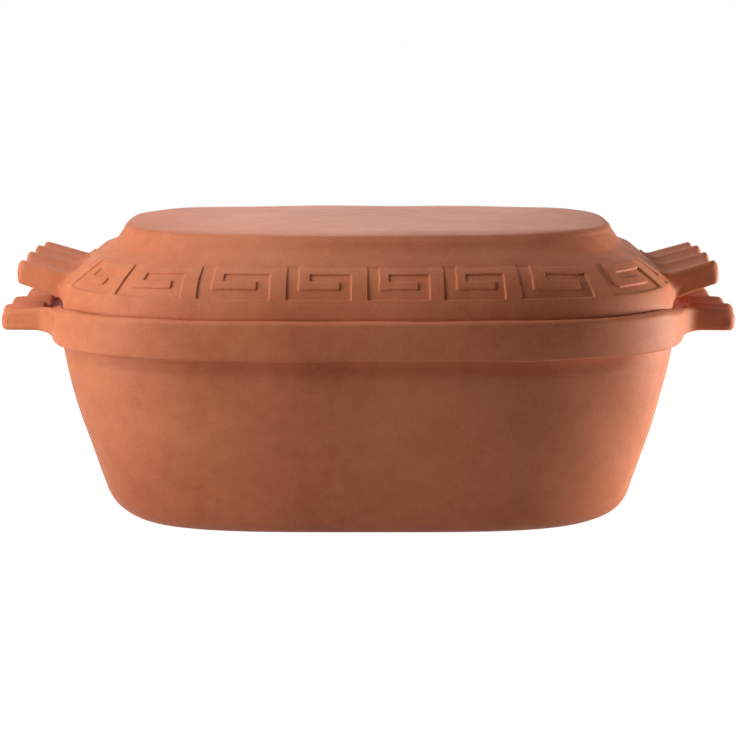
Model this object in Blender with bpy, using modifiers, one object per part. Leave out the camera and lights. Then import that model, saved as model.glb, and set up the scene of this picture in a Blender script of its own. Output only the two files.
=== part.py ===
"""Unglazed clay roaster: a deep oblong pot and a lid that lifts off, both with ridged handles.

Metres, +Z up. The origin is at the bottom centre of the pot, X runs along its length
and the front faces -Y. Every section in plan is a superellipse, so each shell is a loft
through rings of (half length, half width, exponent, height).
"""
from math import pi, radians, tan

import bmesh
import bpy
import numpy as np

OBJECT_NAME = "clay_roaster"

# Rim band of the pot
RIM_HALF_LENGTH = 0.1815
RIM_HALF_WIDTH = 0.117
RIM_EXPONENT = 3.5
RIM_TOP = 0.1266
BAND_HEIGHT = 0.0214
BAND_STEP = 0.0055
BAND_LOWER_ROUNDING = 0.0016
RIM_ROUNDING = 0.0034
LIP_WIDTH = 0.0057
LIP_INNER_ROUNDING = 0.001
LEDGE_DEPTH = 0.0085
LIP_HEIGHT_AT_HANDLES = 0.0036
LIP_DIP_START = 0.160
LIP_DIP_END = 0.181

# Wall and foot of the pot
FOOT_INSET = 0.0224
FOOT_RADIUS = 0.0225
FOOT_EXPONENT = 3.9
WALL_CURVE = 1.44
SIDE_DRAW_IN = 0.75
POT_WALL = 0.0085
POT_FLOOR = 0.009
INNER_FLOOR_RADIUS = 0.014

# Ribs that keep the roast off the pot's floor
RIB_COUNT = 5
RIB_PITCH = 0.021
RIB_RADIUS = 0.004
RIB_HEIGHT = 0.0022
RIB_LENGTH = 0.190
RIB_SHORTENING = 0.012

# Fit of the lid in the pot
LID_SIDE_CLEARANCE = 0.0006
LID_REST_CLEARANCE = 0.0003

# Lid: how far each level lies inside the lid's rim, and how far it rises above the pot's rim
LID_WALL = 0.008
LID_CROWN_WALL = 0.0085
SHOULDER_LEVELS = ((0.0, 0.0), (0.0008, 0.0052))
BAND_FOOT_INSET = 0.0029
BAND_FOOT_RISE = 0.0109
BAND_HEAD_INSET = 0.0180
BAND_HEAD_RISE = 0.0262
BAND_SIDE_BULGE = 0.0021
BAND_END_BULGE = 0.0004
WAIST_INSET = 0.0225
WAIST_RISE = 0.0289
WAIST_END_INSET = 0.0216
WAIST_END_RISE = 0.0274
CREASE_INSET = 0.0306
CREASE_RISE = 0.0347
CREASE_END_INSET = 0.0276
CREASE_END_RISE = 0.0301
BLOCK_TOP_INSET = 0.0347
BLOCK_ROUNDING = 0.0024
LID_TOP_RISE = 0.0412
END_DRAW_IN = 1.04
END_BLEND_START = 0.085
END_BLEND_END = 0.144
TOP_EXPONENT = 2.9
HOLLOW_CORNER_SHARE = 0.7

# Meander band, cut as grooves that leave the keys standing flush with the lid. Key widths and
# the first key's start are shares of half the perimeter, in mm at this size, from mid-front.
KEY_GROOVE_DEPTH = 0.0012
KEY_GROOVE_DRAFT = 0.0012
KEY_WIDTHS = (37.0, 44.5, 47.0, 43.0, 40.5, 40.0, 49.0, 45.5, 37.0, 36.5, 36.5)
FIRST_KEY_START = -172.0
KEY_COLUMN_EDGES = (0.0, 0.155, 0.285, 0.665, 0.80)
KEY_ROW_EDGES = (0.0, 0.215, 0.48, 0.73, 1.0)

# Ridges and channels, as both pairs of handles have them
RIDGE_COUNT = 4
RIDGE_PITCH = 0.026
CHANNEL_DEPTH = 0.0036
SIDE_EDGE_REACH = 0.0026
SIDE_EDGE_DROP = 0.0032
TIP_SCALLOP = 0.0012
TIP_REACH = 0.0036
UNDER_EDGE_ROUNDING = 0.0012
FLARE_SHARPNESS = 8
HANDLE_SEAT = 0.0034

# Handles of the pot
POT_HANDLE_REACH = 0.2150
POT_HANDLE_SWEEP = 0.0055
POT_HANDLE_CREST_DROP = 0.0067
POT_HANDLE_SIDE_RISE = 0.0022
POT_HANDLE_TIP_DROP = 0.0014
POT_HANDLE_THICKNESS = 0.0121
POT_HANDLE_NOSE_DROP = 0.0036
POT_HANDLE_LOW_NOSE = 0.0024
POT_HANDLE_FLARE = 0.011
POT_HANDLE_UNDER_REACH = 0.011
POT_HANDLE_UNDER_DROP = 0.0030

# Pocket behind the pot's ridges, for the fingertips of whoever lifts the lid
POCKET_OUTER = 0.1885
POCKET_HALF_WIDTH = 0.037
POCKET_FLOOR_THICKNESS = 0.0062
POCKET_ROUNDING = 0.003

# Handles of the lid
LID_HANDLE_REACH = 0.2000
LID_HANDLE_CREST_RISE = 0.0174
LID_HANDLE_CREST_SLOPE = radians(16.2)
LID_HANDLE_ARCH = 0.0020
LID_HANDLE_THICKNESS = 0.0172
LID_HANDLE_UNDERSIDE_SLOPE = radians(20.4)
LID_HANDLE_NOSE_DROP = 0.0060
LID_HANDLE_LOW_NOSE = 0.0009
LID_HANDLE_FLARE = 0.012
LID_HANDLE_ROOT_INSET = 0.0066
LID_HANDLE_BLEND = 0.004
LID_HANDLE_UNDER_FILLET = 0.003

# Mesh fineness
SHELL_COLUMNS = 84
INSIDE_COLUMNS = 64
ARC_STEPS = 4
WALL_STEPS = 6
CHANNEL_COLUMNS = 4
HANDLE_STOPS = (0.0, 0.12, 0.22, 0.33, 0.5, 0.75)
NOSE_TURNS = (0.0, 0.45, 0.75, 1.0)
ROUNDING_STEPS = 2
RIB_SEGMENTS = 12
RIB_RINGS = 8
OUTLINE_SAMPLES = 2880
NEWTON_STEPS = 8
SAME_FRACTION = 1e-9
SHARP_ANGLE = radians(38)

# Fired clay
CLAY_COLOUR = (0.50, 0.19, 0.09, 1.0)
LID_CLAY_COLOUR = (0.52, 0.20, 0.10, 1.0)
CLAY_ROUGHNESS = 0.85

# Sizes that follow from the ones above
BAND_BOTTOM = RIM_TOP - BAND_HEIGHT
LEDGE_HEIGHT = RIM_TOP - LEDGE_DEPTH
BODY_HALF_LENGTH = RIM_HALF_LENGTH - BAND_STEP
BODY_HALF_WIDTH = RIM_HALF_WIDTH - BAND_STEP
LID_HALF_LENGTH = RIM_HALF_LENGTH - LIP_WIDTH - LID_SIDE_CLEARANCE
LID_HALF_WIDTH = RIM_HALF_WIDTH - LIP_WIDTH - LID_SIDE_CLEARANCE
LID_BOTTOM = LEDGE_HEIGHT + LID_REST_CLEARANCE
BAND_FOOT_HEIGHT = RIM_TOP + BAND_FOOT_RISE
BAND_HEAD_HEIGHT = RIM_TOP + BAND_HEAD_RISE
LID_TOP = RIM_TOP + LID_TOP_RISE
OUTER_RIDGE = (RIDGE_COUNT - 1) * RIDGE_PITCH / 2
HANDLE_HALF_WIDTH = OUTER_RIDGE + SIDE_EDGE_REACH
POT_HANDLE_CREST = RIM_TOP - POT_HANDLE_CREST_DROP
POT_HANDLE_UNDERSIDE = POT_HANDLE_CREST - POT_HANDLE_THICKNESS
POCKET_FLOOR = POT_HANDLE_UNDERSIDE + POCKET_FLOOR_THICKNESS
LID_HANDLE_CREST = RIM_TOP + LID_HANDLE_CREST_RISE
LID_HANDLE_UNDERSIDE = LID_HANDLE_CREST - LID_HANDLE_THICKNESS


def clear_scene():
    """Remove whatever the scene holds."""
    for item in list(bpy.data.objects):
        bpy.data.objects.remove(item, do_unlink=True)


def new_collection(name):
    """Return a new collection linked to the scene."""
    collection = bpy.data.collections.new(name)
    bpy.context.scene.collection.children.link(collection)
    return collection


def clay(name, colour):
    """Return a dull fired-clay material."""
    material = bpy.data.materials.new(name)
    material.use_nodes = True
    shader = material.node_tree.nodes["Principled BSDF"]
    shader.inputs["Base Color"].default_value = colour
    shader.inputs["Roughness"].default_value = CLAY_ROUGHNESS
    shader.inputs["Metallic"].default_value = 0.0
    return material


def even_fractions(count):
    """Return evenly spaced fractions of a perimeter."""
    return np.arange(count) / count


def outline(half_length, half_width, exponent, fractions):
    """Return plan points of a superellipse at fractions of its perimeter.

    The radius at polar angle t is (|cos t / a|^n + |sin t / b|^n)^(-1/n). Fraction 0 is
    the middle of the front, and fractions grow towards +X.
    """
    angle = np.linspace(-pi / 2, 1.5 * pi, OUTLINE_SAMPLES + 1)
    across = np.abs(np.cos(angle) / half_length) ** exponent
    along = np.abs(np.sin(angle) / half_width) ** exponent
    radius = (across + along) ** (-1 / exponent)
    x, y = radius * np.cos(angle), radius * np.sin(angle)
    run = np.concatenate(([0.0], np.cumsum(np.hypot(np.diff(x), np.diff(y)))))
    wanted = np.asarray(fractions) * run[-1]
    return np.interp(wanted, run, x), np.interp(wanted, run, y)


def outline_x(half_length, half_width, exponent, y):
    """Return the x of a superellipse's +X end at each y."""
    return half_length * (1 - np.abs(y / half_width) ** exponent) ** (1 / exponent)


def ring_points(section, fractions):
    """Return the points of one level: (half length, half width, exponent, height)."""
    half_length, half_width, exponent, height = section
    x, y = outline(half_length, half_width, exponent, fractions)
    return np.column_stack((x, y, np.full_like(x, height)))


def add_ring(mesh, points):
    """Add one ring of vertices."""
    return [mesh.verts.new(point) for point in points]


def stitch(mesh, lower, upper, lower_fractions, upper_fractions):
    """Join two closed rings, with quads where their fractions agree and triangles elsewhere."""
    lower_count, upper_count = len(lower), len(upper)
    lower_run = np.append(lower_fractions, 1 + lower_fractions[0])
    upper_run = np.append(upper_fractions, 1 + upper_fractions[0])
    i = j = 0
    while i < lower_count or j < upper_count:
        a, b = lower[i % lower_count], upper[j % upper_count]
        next_a, next_b = lower[(i + 1) % lower_count], upper[(j + 1) % upper_count]
        lower_next = lower_run[i + 1] if i < lower_count else np.inf
        upper_next = upper_run[j + 1] if j < upper_count else np.inf
        if abs(lower_next - upper_next) < SAME_FRACTION:
            mesh.faces.new((a, next_a, next_b, b))
            i, j = i + 1, j + 1
        elif lower_next < upper_next:
            mesh.faces.new((a, next_a, b))
            i += 1
        else:
            mesh.faces.new((a, next_b, b))
            j += 1


def loft(mesh, rings):
    """Stitch rings of (points, fractions) in order, and close both ends."""
    made = [(add_ring(mesh, points), fractions) for points, fractions in rings]
    for (lower, lower_run), (upper, upper_run) in zip(made[:-1], made[1:]):
        stitch(mesh, lower, upper, lower_run, upper_run)
    mesh.faces.new(made[0][0])
    mesh.faces.new(made[-1][0])


def finish(mesh, name, collection, material=None):
    """Turn a bmesh into an object with outward faces and smooth shading."""
    bmesh.ops.recalc_face_normals(mesh, faces=mesh.faces)
    data = bpy.data.meshes.new(name)
    mesh.to_mesh(data)
    mesh.free()
    data.shade_smooth()
    data.set_sharp_from_angle(angle=SHARP_ANGLE)
    item = bpy.data.objects.new(name, data)
    collection.objects.link(item)
    if material:
        data.materials.append(material)
    return item


def hide_cutter(item):
    """Mark a helper shape so that it isn't taken for a piece of the roaster."""
    item.hide_render = True
    item.display_type = "WIRE"
    return item


def boolean(item, helper, operation):
    """Join or cut an object with a helper shape."""
    modifier = item.modifiers.new(helper.name, "BOOLEAN")
    modifier.operation = operation
    modifier.solver = "EXACT"
    modifier.object = helper


def body_inset(height):
    """Return how far the pot's end wall lies inside the band's foot at a height.

    A power of the distance still to climb, so the wall is upright under the band.
    """
    climb = np.clip((height - FOOT_RADIUS) / (BAND_BOTTOM - FOOT_RADIUS), 0, 1)
    return FOOT_INSET * (1 - climb) ** WALL_CURVE


def body_section(height, inset, wall=0.0):
    """Return a pot section; the sides draw in less than the ends, and the foot is squarer."""
    climb = np.clip(height / BAND_BOTTOM, 0, 1)
    exponent = FOOT_EXPONENT + (RIM_EXPONENT - FOOT_EXPONENT) * climb
    half_width = BODY_HALF_WIDTH - inset * SIDE_DRAW_IN - wall
    return (BODY_HALF_LENGTH - inset - wall, half_width, exponent, height)


def pot_outer_sections():
    """Return the pot's outside from the flat foot up to the band."""
    sections = []
    for turn in np.linspace(0, pi / 2, ARC_STEPS + 1):
        inset = FOOT_INSET + FOOT_RADIUS * (1 - np.sin(turn))
        sections.append(body_section(FOOT_RADIUS * (1 - np.cos(turn)), inset))
    for height in np.linspace(FOOT_RADIUS, BAND_BOTTOM, WALL_STEPS + 1)[1:]:
        sections.append(body_section(height, body_inset(height)))
    return sections


def rim_section(inset, height):
    """Return a section of the rim, inset from the band's outer face."""
    return (RIM_HALF_LENGTH - inset, RIM_HALF_WIDTH - inset, RIM_EXPONENT, height)


def pot_rim_sections():
    """Return the band, the lip and the ledge that carries the lid."""
    sections = []
    for turn in np.linspace(0, pi / 2, ROUNDING_STEPS + 1):
        inset = BAND_LOWER_ROUNDING * (1 - np.sin(turn))
        sections.append(rim_section(inset, BAND_BOTTOM + BAND_LOWER_ROUNDING * (1 - np.cos(turn))))
    for turn in np.linspace(0, pi / 2, ARC_STEPS):
        inset = RIM_ROUNDING * (1 - np.cos(turn))
        sections.append(rim_section(inset, RIM_TOP - RIM_ROUNDING * (1 - np.sin(turn))))
    sections.append(rim_section(LIP_WIDTH - LIP_INNER_ROUNDING, RIM_TOP))
    sections.append(rim_section(LIP_WIDTH, RIM_TOP - LIP_INNER_ROUNDING))
    sections.append(rim_section(LIP_WIDTH, LEDGE_HEIGHT))
    return sections


def pot_inner_sections():
    """Return the pot's inside from the ledge down to the flat inner floor."""
    heights = np.linspace(BAND_BOTTOM, POT_FLOOR + INNER_FLOOR_RADIUS, WALL_STEPS)
    sections = [body_section(LEDGE_HEIGHT, 0.0, POT_WALL)]
    for height in heights:
        sections.append(body_section(height, body_inset(height), POT_WALL))
    for turn in np.linspace(0, pi / 2, ARC_STEPS)[1:]:
        height = POT_FLOOR + INNER_FLOOR_RADIUS * (1 - np.sin(turn))
        inset = body_inset(POT_FLOOR + INNER_FLOOR_RADIUS) + INNER_FLOOR_RADIUS * (1 - np.cos(turn))
        sections.append(body_section(height, inset, POT_WALL))
    return sections


def ease_to_ends(points, start, end):
    """Return 0 up to start and 1 beyond end, eased between them, from each point's |x|."""
    progress = np.clip((np.abs(points[:, 0]) - start) / (end - start), 0, 1)
    return progress ** 2 * (3 - 2 * progress)


def dip_lip(points):
    """Lower what stands above the ledge towards both ends, where the handles are."""
    ease = ease_to_ends(points, LIP_DIP_START, LIP_DIP_END)
    scale = 1 + (LIP_HEIGHT_AT_HANDLES / LEDGE_DEPTH - 1) * ease
    above = np.maximum(points[:, 2] - LEDGE_HEIGHT, 0)
    points[:, 2] += above * (scale - 1)
    return points


def pot_shell(collection, material):
    """Loft the hollow pot."""
    mesh = bmesh.new()
    outside = even_fractions(SHELL_COLUMNS)
    inside = even_fractions(INSIDE_COLUMNS)
    rings = [(ring_points(section, outside), outside) for section in pot_outer_sections()]
    rings += [(dip_lip(ring_points(section, outside)), outside) for section in pot_rim_sections()]
    rings += [(ring_points(section, inside), inside) for section in pot_inner_sections()]
    loft(mesh, rings)
    return finish(mesh, "roaster_pot", collection, material)


def lid_section(inset, height):
    """Return a lid section: the ends draw in a little faster, and the corners grow rounder."""
    exponent = RIM_EXPONENT + (TOP_EXPONENT - RIM_EXPONENT) * min(inset / BLOCK_TOP_INSET, 1)
    return (LID_HALF_LENGTH - inset * END_DRAW_IN, LID_HALF_WIDTH - inset, exponent, height)


def lid_ring(inset, height, fractions):
    """Return one outside ring of the lid, on lines square to the middle of the meander band.

    Fractions are of the perimeter of the band's middle. Newton steps on the norm
    (|x / a|^n + |y / b|^n)^(1/n) = 1 find where each line meets the section.
    """
    a, b, n, _ = lid_section((BAND_FOOT_INSET + BAND_HEAD_INSET) / 2, height)
    start_x, start_y = outline(a, b, n, fractions)
    out_x = np.sign(start_x) * np.abs(start_x / a) ** (n - 1) / a
    out_y = np.sign(start_y) * np.abs(start_y / b) ** (n - 1) / b
    size = np.hypot(out_x, out_y)
    out_x, out_y = out_x / size, out_y / size
    a, b, n, _ = lid_section(inset, height)
    far = np.zeros(len(start_x))
    for _ in range(NEWTON_STEPS):
        x, y = start_x + far * out_x, start_y + far * out_y
        across, along = np.abs(x / a), np.abs(y / b)
        norm = (across ** n + along ** n) ** (1 / n)
        climb = across ** (n - 1) * np.sign(x) * out_x / a + along ** (n - 1) * np.sign(y) * out_y / b
        far -= (norm - 1) / (climb * norm ** (1 - n))
    return np.column_stack((start_x + far * out_x, start_y + far * out_y, np.full(len(far), height)))


def blended_ring(side, end, fractions):
    """Return a ring that is at one (inset, height) along the sides and at another at the ends."""
    side_points, end_points = lid_ring(*side, fractions), lid_ring(*end, fractions)
    ease = ease_to_ends(side_points, END_BLEND_START, END_BLEND_END)[:, None]
    return side_points * (1 - ease) + end_points * ease


def band_normal():
    """Return the band's outward direction as (away from the middle, up)."""
    run, rise = BAND_HEAD_INSET - BAND_FOOT_INSET, BAND_HEAD_RISE - BAND_FOOT_RISE
    length = np.hypot(run, rise)
    return rise / length, run / length


def band_place(progress, bulge, depth):
    """Return (inset, height) on the meander band, 0 at its head and 1 at its foot.

    A straight slope, bulged outwards by a parabola and sunk by a depth.
    """
    away, up = band_normal()
    out = bulge * 4 * progress * (1 - progress) - depth
    inset = BAND_HEAD_INSET + (BAND_FOOT_INSET - BAND_HEAD_INSET) * progress
    height = BAND_HEAD_HEIGHT + (BAND_FOOT_HEIGHT - BAND_HEAD_HEIGHT) * progress
    return inset - out * away, height + out * up


def band_ring(progress, depth, fractions):
    """Return one ring of the meander band, which bulges more at the sides than at the ends."""
    side, end = (band_place(progress, bulge, depth) for bulge in (BAND_SIDE_BULGE, BAND_END_BULGE))
    return blended_ring(side, end, fractions)


def band_slope_length():
    """Return the band's height measured along its slope."""
    return np.hypot(BAND_HEAD_INSET - BAND_FOOT_INSET, BAND_HEAD_RISE - BAND_FOOT_RISE)


def key_is_raised(across, down):
    """Say whether a point of one key stands proud; both run 0 to 1 from its upper left."""
    groove, left, middle, inner = KEY_COLUMN_EDGES[1:]
    top, upper, tongue = KEY_ROW_EDGES[1:4]
    if across < groove:
        return False
    if across > inner:
        return True
    if down < top:
        return True
    if across < left:
        return down < tongue
    return across < middle and upper < down < tongue


def key_columns():
    """Return each column's perimeter fraction and its place within its key.

    Each edge of the key is a pair of columns, one on either side of the groove's drafted wall.
    """
    widths = np.array(KEY_WIDTHS + KEY_WIDTHS)
    shares = widths / widths.sum()
    starts = np.concatenate(([0.0], np.cumsum(shares)[:-1])) + FIRST_KEY_START / widths.sum()
    perimeter = outline_perimeter(*lid_section((BAND_FOOT_INSET + BAND_HEAD_INSET) / 2, 0.0)[:3])
    columns = []
    for start, share in zip(starts, shares):
        half_draft = KEY_GROOVE_DRAFT / 2 / (perimeter * share)
        for edge in KEY_COLUMN_EDGES:
            for side in (edge - half_draft, edge + half_draft):
                columns.append(((start + side * share) % 1.0, side % 1.0))
    columns.sort()
    fractions, places = zip(*columns)
    return np.array(fractions), np.array(places)


def outline_perimeter(half_length, half_width, exponent):
    """Return the perimeter of a plan section."""
    x, y = outline(half_length, half_width, exponent, np.linspace(0, 1, OUTLINE_SAMPLES + 1))
    return np.hypot(np.diff(x), np.diff(y)).sum()


def band_rings():
    """Return the meander band from foot to head as rings of raised and sunken points."""
    fractions, places = key_columns()
    half_draft = KEY_GROOVE_DRAFT / 2 / band_slope_length()
    rings = []
    for edge in reversed(KEY_ROW_EDGES):
        for down in (edge + half_draft, edge - half_draft):
            raised, sunken = (band_ring(down, depth, fractions) for depth in (0.0, KEY_GROOVE_DEPTH))
            if down > 1:
                proud = np.ones(len(places), bool)
            elif down < 0:
                proud = np.zeros(len(places), bool)
            else:
                proud = np.array([key_is_raised(place, down) for place in places])
            rings.append((np.where(proud[:, None], raised, sunken), fractions))
    return rings


def lid_crown_levels():
    """Return the waist, the crease and the block's top edge, each as (side, end) places."""
    levels = [
        ((WAIST_INSET, RIM_TOP + WAIST_RISE), (WAIST_END_INSET, RIM_TOP + WAIST_END_RISE)),
        ((CREASE_INSET, RIM_TOP + CREASE_RISE), (CREASE_END_INSET, RIM_TOP + CREASE_END_RISE)),
    ]
    for turn in np.linspace(0, pi / 2, ARC_STEPS):
        place = (BLOCK_TOP_INSET + BLOCK_ROUNDING * (1 - np.cos(turn)),
                 LID_TOP - BLOCK_ROUNDING * (1 - np.sin(turn)))
        levels.append((place, place))
    return levels


def lid_inner_levels():
    """Return (inset, height) of the lid's inside from its rim to under its crown."""
    corner = LID_WALL * HOLLOW_CORNER_SHARE
    return [
        (LID_WALL, LID_BOTTOM),
        (LID_WALL, RIM_TOP),
        (BAND_FOOT_INSET + LID_WALL, BAND_FOOT_HEIGHT - LID_WALL / 2),
        (BAND_HEAD_INSET + corner, BAND_HEAD_HEIGHT - corner),
        (CREASE_END_INSET + corner, RIM_TOP + CREASE_END_RISE - corner),
        (BLOCK_TOP_INSET + LID_WALL, LID_TOP - LID_CROWN_WALL),
    ]


def lid_shell(collection, material):
    """Loft the hollow lid with its meander band."""
    mesh = bmesh.new()
    outside = even_fractions(SHELL_COLUMNS)
    inside = even_fractions(INSIDE_COLUMNS)
    crown = [(blended_ring(side, end, outside), outside) for side, end in lid_crown_levels()]
    skirt = [(lid_ring(0.0, LID_BOTTOM, outside), outside)]
    skirt += [(lid_ring(inset, RIM_TOP + rise, outside), outside) for inset, rise in SHOULDER_LEVELS]
    hollow = [(ring_points(lid_section(*level), inside), inside) for level in lid_inner_levels()]
    loft(mesh, hollow[::-1] + skirt + band_rings() + crown)
    return finish(mesh, "roaster_lid", collection, material)


def channel_shape(y):
    """Return 0 on a ridge and 1 in the middle of a channel, as a parabola in between."""
    place = (np.asarray(y) + OUTER_RIDGE) / RIDGE_PITCH
    away = 2 * np.abs(place - np.round(place))
    between = (place > 0) & (place < RIDGE_COUNT - 1)
    return np.where(between, 1 - (1 - away) ** 2, 0.0)


def handle_columns():
    """Return y and the drop below the crest of each column, from one side to the other."""
    middle = np.linspace(-OUTER_RIDGE, OUTER_RIDGE, (RIDGE_COUNT - 1) * CHANNEL_COLUMNS + 1)
    turn = np.linspace(0, pi / 2, ROUNDING_STEPS + 1)[1:]
    outer_y = OUTER_RIDGE + SIDE_EDGE_REACH * np.sin(turn)
    outer_drop = SIDE_EDGE_DROP * (1 - np.cos(turn))
    y = np.concatenate((-outer_y[::-1], middle, outer_y))
    return y, np.concatenate((outer_drop[::-1], CHANNEL_DEPTH * channel_shape(middle), outer_drop))


def corner_rise(distance, radius):
    """Return the height of a concave quarter-round fillet at a distance from its wall."""
    left = np.clip(1 - np.asarray(distance) / radius, 0, 1)
    return radius * (1 - np.sqrt(1 - left ** 2))


def slope_blend(distance, slope, reach):
    """Return the rise of a parabola that meets a flat and a sloping wall without a crease."""
    left = reach - np.clip(distance, -reach, reach)
    return slope * left ** 2 / (4 * reach)


def ridged_handle(name, shape, collection):
    """Return a handle of ridges and channels as a closed block, for joining to its shell.

    shape holds top_root, low_root and tip, which give x at each y, crest and underside,
    which give z at each (x, y), flare, the fillet of its sides into the shell, and
    nose_drop and low_nose, the roundings of the tip's upper and lower edge.
    """
    y, drop = handle_columns()
    count = len(y)
    edge = np.abs(y / HANDLE_HALF_WIDTH) ** FLARE_SHARPNESS
    tip_x = shape["tip"](y) - TIP_SCALLOP * channel_shape(y)
    length = (tip_x - TIP_REACH - shape["top_root"](y)).mean()
    stations = [(stop, 0.0) for stop in HANDLE_STOPS] + [(1.0, turn * pi / 2) for turn in NOSE_TURNS]
    mesh = bmesh.new()
    rows = []
    for stop, turn in stations:
        spread = y + np.sign(y) * edge * corner_rise(stop * length - HANDLE_SEAT, shape["flare"])
        top_x, low_x = (
            root(spread) + (tip_x - nose - root(spread)) * stop + nose * np.sin(turn)
            for root, nose in ((shape["top_root"], TIP_REACH), (shape["low_root"], shape["low_nose"]))
        )
        bend = 1 - np.cos(turn)
        top = shape["crest"](top_x, spread) - drop - shape["nose_drop"] * bend
        low = shape["underside"](low_x, spread) + UNDER_EDGE_ROUNDING * edge + shape["low_nose"] * bend
        upper = np.column_stack((top_x, spread, top))
        lower = np.column_stack((low_x, spread, low))
        rows.append(add_ring(mesh, np.vstack((upper, lower[::-1]))))
    around = even_fractions(2 * count)
    for inner, outer in zip(rows[:-1], rows[1:]):
        stitch(mesh, inner, outer, around, around)
    for row in (rows[0], rows[-1]):
        for k in range(count - 1):
            mesh.faces.new((row[k], row[k + 1], row[2 * count - 2 - k], row[2 * count - 1 - k]))
    return hide_cutter(finish(mesh, name, collection))


def half_turn(item, name, collection):
    """Return a copy of a helper on the opposite end of the roaster."""
    data = item.data.copy()
    data.name = name
    copy = bpy.data.objects.new(name, data)
    copy.rotation_euler.z = pi
    collection.objects.link(copy)
    return hide_cutter(copy)


def pot_handle(collection):
    """Return the pot's handle at +X."""
    def rim_x(y, inset=0.0):
        return outline_x(RIM_HALF_LENGTH - inset, RIM_HALF_WIDTH - inset, RIM_EXPONENT, y)

    def crest(x, y):
        run = np.clip((x - RIM_HALF_LENGTH) / (POT_HANDLE_REACH - RIM_HALF_LENGTH), 0, 1) ** 2
        sides = POT_HANDLE_SIDE_RISE * np.minimum(np.abs(y / HANDLE_HALF_WIDTH), 1) ** 2
        return POT_HANDLE_CREST - POT_HANDLE_TIP_DROP * run + sides * (1 - run)

    def underside(x, y):
        away = (x - rim_x(y)) * POT_HANDLE_UNDER_DROP / POT_HANDLE_UNDER_REACH
        return POT_HANDLE_UNDERSIDE - corner_rise(away, POT_HANDLE_UNDER_DROP)

    shape = {
        "top_root": lambda y: rim_x(y, HANDLE_SEAT),
        "low_root": lambda y: rim_x(y, HANDLE_SEAT),
        "tip": lambda y: POT_HANDLE_REACH - POT_HANDLE_SWEEP * (y / HANDLE_HALF_WIDTH) ** 2,
        "crest": crest,
        "underside": underside,
        "flare": POT_HANDLE_FLARE,
        "nose_drop": POT_HANDLE_NOSE_DROP,
        "low_nose": POT_HANDLE_LOW_NOSE,
    }
    return ridged_handle("pot_ridges_right", shape, collection)


def lid_handle(collection):
    """Return the lid's handle at +X."""
    band_slope = (BAND_HEAD_RISE - BAND_FOOT_RISE) / (BAND_HEAD_INSET - BAND_FOOT_INSET) / END_DRAW_IN

    def lid_x(y, inset):
        return outline_x(LID_HALF_LENGTH - inset * END_DRAW_IN, LID_HALF_WIDTH - inset, RIM_EXPONENT, y)

    def crest(x, y):
        rise = (x - LID_HALF_LENGTH) * tan(LID_HANDLE_CREST_SLOPE)
        arch = LID_HANDLE_ARCH * (y / HANDLE_HALF_WIDTH) ** 2
        turn = band_slope + tan(LID_HANDLE_CREST_SLOPE)
        away = x - lid_x(y, LID_HANDLE_ROOT_INSET)
        return LID_HANDLE_CREST + rise - arch + slope_blend(away, turn, LID_HANDLE_BLEND)

    def underside(x, y):
        rise = (x - LID_HALF_LENGTH) * tan(LID_HANDLE_UNDERSIDE_SLOPE)
        return LID_HANDLE_UNDERSIDE + rise - corner_rise(x - lid_x(y, 0.0), LID_HANDLE_UNDER_FILLET)

    shape = {
        "top_root": lambda y: lid_x(y, LID_HANDLE_ROOT_INSET) - LID_HANDLE_BLEND,
        "low_root": lambda y: lid_x(y, HANDLE_SEAT),
        "tip": lambda y: np.full(len(y), LID_HANDLE_REACH),
        "crest": crest,
        "underside": underside,
        "flare": LID_HANDLE_FLARE,
        "nose_drop": LID_HANDLE_NOSE_DROP,
        "low_nose": LID_HANDLE_LOW_NOSE,
    }
    return ridged_handle("lid_ridges_right", shape, collection)


def pocket_cutter(collection):
    """Return the block that cuts the pocket behind the pot's ridges at +X."""
    inner = RIM_HALF_LENGTH - LIP_WIDTH - LID_SIDE_CLEARANCE
    mesh = bmesh.new()
    bmesh.ops.create_cube(mesh, size=1.0)
    size = (POCKET_OUTER - inner, 2 * POCKET_HALF_WIDTH, RIM_TOP)
    bmesh.ops.scale(mesh, vec=size, verts=mesh.verts)
    centre = ((POCKET_OUTER + inner) / 2, 0.0, POCKET_FLOOR + RIM_TOP / 2)
    bmesh.ops.translate(mesh, vec=centre, verts=mesh.verts)
    item = hide_cutter(finish(mesh, "pocket_right", collection))
    bevel = item.modifiers.new("corners", "BEVEL")
    bevel.width = POCKET_ROUNDING
    bevel.segments = ROUNDING_STEPS
    return item


def floor_ribs(collection):
    """Return the raised ribs of the pot's inner floor, sunk to their height in the floor."""
    ribs = []
    for number in range(RIB_COUNT):
        place = number - (RIB_COUNT - 1) / 2
        mesh = bmesh.new()
        bmesh.ops.create_uvsphere(mesh, u_segments=RIB_SEGMENTS, v_segments=RIB_RINGS, radius=RIB_RADIUS)
        half_run = RIB_LENGTH / 2 - RIB_SHORTENING * place ** 2
        for vertex in mesh.verts:
            vertex.co.x += half_run if vertex.co.x > 0 else -half_run
        shift = (0.0, place * RIB_PITCH, POT_FLOOR + RIB_HEIGHT - RIB_RADIUS)
        bmesh.ops.translate(mesh, vec=shift, verts=mesh.verts)
        ribs.append(hide_cutter(finish(mesh, f"rib_{number + 1}", collection)))
    return ribs


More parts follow.
